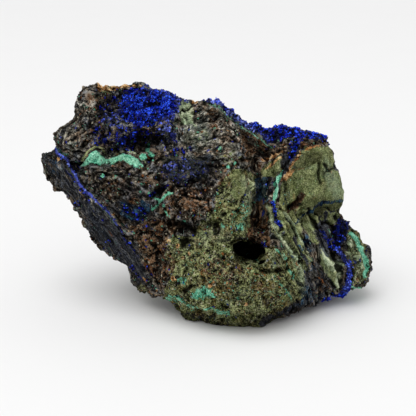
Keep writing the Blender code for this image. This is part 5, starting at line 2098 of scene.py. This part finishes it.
@dataclass(frozen=True)
class Growth:
    """One piece made of grains scattered over the stone.

    Sizes are in millimetres, the density is in grains for each square millimetre, the tilt is in degrees,
    and the sink is a share of a grain's height.
    """

    name: str
    grain: Grain
    where: str
    spacing: float
    density: float
    smallest: tuple[float, float, float]
    largest: tuple[float, float, float]
    tilt: float
    seed: int
    sink: float = 0.0
    along: float = 0.0

    def build(
        self, stone: bpy.types.Object, tree: bpy.types.NodeTree, material: bpy.types.Material
    ) -> bpy.types.Object:
        """Grows the piece.

        Args:
            stone: The surface that carries the grains.
            tree: The tree that scatters them.
            material: Their finish.

        Returns:
            The grains as one mesh object.
        """
        carrier = bpy.data.objects.new(self.name, stone.data)
        bpy.context.scene.collection.objects.link(carrier)
        grow = carrier.modifiers.new("grow", "NODES")
        grow.node_group = tree
        smallest, largest = (tuple(size * MM for size in sizes) for sizes in (self.smallest, self.largest))
        values = {
            "Spacing": self.spacing * MM, "Density": self.density / MM**2, "Where": self.where,
            "Smallest": smallest, "Largest": largest, "Tilt": math.radians(self.tilt), "Sink": self.sink,
            "Along": self.along, "Seed": self.seed, "Material": material,
        }
        for item in tree.interface.items_tree:
            if item.in_out == "INPUT" and item.name in values:
                grow[item.identifier] = values[item.name]
        mesh = baked(carrier)
        carrier.modifiers.remove(grow)
        carrier.data = mesh
        return carrier


AZURITE_TONE = Tone((0.0002, 0.0004, 0.003), (0.001, 0.007, 0.42), (0.04, 0.13, 1.0), (0.44, 0.69, 1.05))
MALACHITE_TONE = Tone((0.03, 0.20, 0.12), (0.17, 0.62, 0.42), (0.55, 0.92, 0.72), (0.15, 0.45, 0.9))

GROWTHS = (
    Growth(
        "azurite_crystals", Grain.PRISM, "grow_azurite", 0.42, 4.6,
        (0.26, 0.24, 0.3), (1.0, 0.75, 0.8), 65, 11, 0.15,
    ),
    Growth(
        "azurite_lumps", Grain.LUMP, "grow_lumps", 0.45, 4.0,
        (0.6, 0.5, 0.4), (1.7, 1.3, 0.75), 30, 15, 0.22,
    ),
    Growth(
        "malachite_bubbles", Grain.BUBBLE, "grow_malachite", 0.4, 1.6,
        (0.15, 0.15, 0.06), (0.42, 0.36, 0.14), 15, 12, 0.3,
    ),
    Growth(
        "green_grit", Grain.CRUMB, "grow_grit", 0.45, 1.6,
        (0.16, 0.14, 0.08), (0.46, 0.34, 0.2), 25, 13, 0.15, 0.5,
    ),
    Growth(
        "rock_crumbs", Grain.CRUMB, "grow_crumbs", 0.55, 0.8,
        (0.22, 0.16, 0.08), (0.62, 0.36, 0.18), 16, 14, 0.25, 0.7,
    ),
)


@dataclass
class Studio:
    """A plain pale floor and soft light from above, in metres, watts and degrees."""

    floor_side: float = 8.0
    floor_colour: Colour = (0.84, 0.84, 0.84)
    mottle_size: float = 60.0
    mottle_share: float = 0.985
    floor_roughness: float = 0.95
    floor_shine: float = 0.1
    sky: float = 0.67
    sun: float = 1.3
    sun_width: float = 50.0
    sun_from: tuple[float, float, float] = (-0.3, -0.2, 1.0)
    panel_place: tuple[float, float, float] = (-0.1, -0.4, 0.85)
    panel_target: tuple[float, float, float] = (0.0, 0.0, 0.03)
    panel_side: float = 0.8
    panel_power: float = 1.5

    def build(self) -> None:
        """Makes the floor, the sky and the lights."""
        self.floor()
        world = bpy.data.worlds.new("studio")
        world.use_nodes = True
        back = world.node_tree.nodes["Background"]
        back.inputs["Color"].default_value = (1.0, 1.0, 1.0, 1.0)
        back.inputs["Strength"].default_value = self.sky
        bpy.context.scene.world = world
        sun = bpy.data.lights.new("overhead", "SUN")
        sun.energy = self.sun
        sun.angle = math.radians(self.sun_width)
        self.hang(sun, (0.0, 0.0, 0.0), Vector(self.sun_from))
        panel = bpy.data.lights.new("near", "AREA")
        panel.shape = "SQUARE"
        panel.size = self.panel_side
        panel.energy = self.panel_power
        self.hang(panel, self.panel_place, Vector(self.panel_place) - Vector(self.panel_target))
        bpy.context.scene.view_settings.view_transform = "Standard"

    def floor(self) -> None:
        """The pale floor under the stone."""
        bpy.ops.mesh.primitive_plane_add(size=self.floor_side)
        floor = bpy.context.object
        floor.name = "floor"
        made = bpy.data.materials.new("pale_paper")
        made.use_nodes = True
        web = Web(made.node_tree)
        shader = made.node_tree.nodes["Principled BSDF"]
        shade = tuple(part * self.mottle_share for part in self.floor_colour)
        mottled = web.mix(web.noise(self.mottle_size, 3.0), shade, self.floor_colour)
        web.feed(shader.inputs["Base Color"], mottled)
        shader.inputs["Roughness"].default_value = self.floor_roughness
        shader.inputs["Specular IOR Level"].default_value = self.floor_shine
        floor.data.materials.append(made)

    def hang(self, lamp: bpy.types.Light, place: tuple[float, float, float], back: Vector) -> None:
        """Hangs a light.

        Args:
            lamp: The light.
            place: Where it hangs.
            back: The way its back faces.
        """
        light = bpy.data.objects.new(lamp.name, lamp)
        light.location = place
        light.rotation_euler = back.to_track_quat("Z", "Y").to_euler()
        bpy.context.scene.collection.objects.link(light)


def adopt(piece: bpy.types.Object) -> None:
    """Ties a finished piece to the stone's body and reports it.

    Args:
        piece: The piece's object.
    """
    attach(piece, BODY)
    faces = sum(len(p.vertices) - 2 for p in piece.data.polygons)
    LOG.info("%s: %d triangles", piece.name, faces)


def main() -> None:
    """Builds the studio and the stone."""
    logging.basicConfig(level=logging.INFO, format="%(name)s %(message)s", force=True)
    noise.seed_set(NOISE_SEED)
    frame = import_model()
    VIEW.camera()
    Studio().build()
    groups = Groups()
    stone = Stone().build(frame["nodes"][NODE])
    rock = StoneFinish().material(groups)
    blue = CrystalFinish("azurite_crystal", AZURITE_TONE, 0.3, 0.1).material(groups)
    green = CrystalFinish("malachite_crust", MALACHITE_TONE, 0.6, 0.1, 1.6, (0.5, 0.8, 0.6)).material(groups)
    finishes = {Grain.PRISM: blue, Grain.LUMP: blue, Grain.BUBBLE: green, Grain.CRUMB: rock}
    trees = {grain: GrowthTree(grain).tree for grain in Grain}
    pieces = [growth.build(stone, trees[growth.grain], finishes[growth.grain]) for growth in GROWTHS]
    stone.data.materials.clear()
    stone.data.materials.append(rock)
    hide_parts(NODE)
    for piece in [stone, *pieces]:
        adopt(piece)


if __name__ == "__main__":
    main()
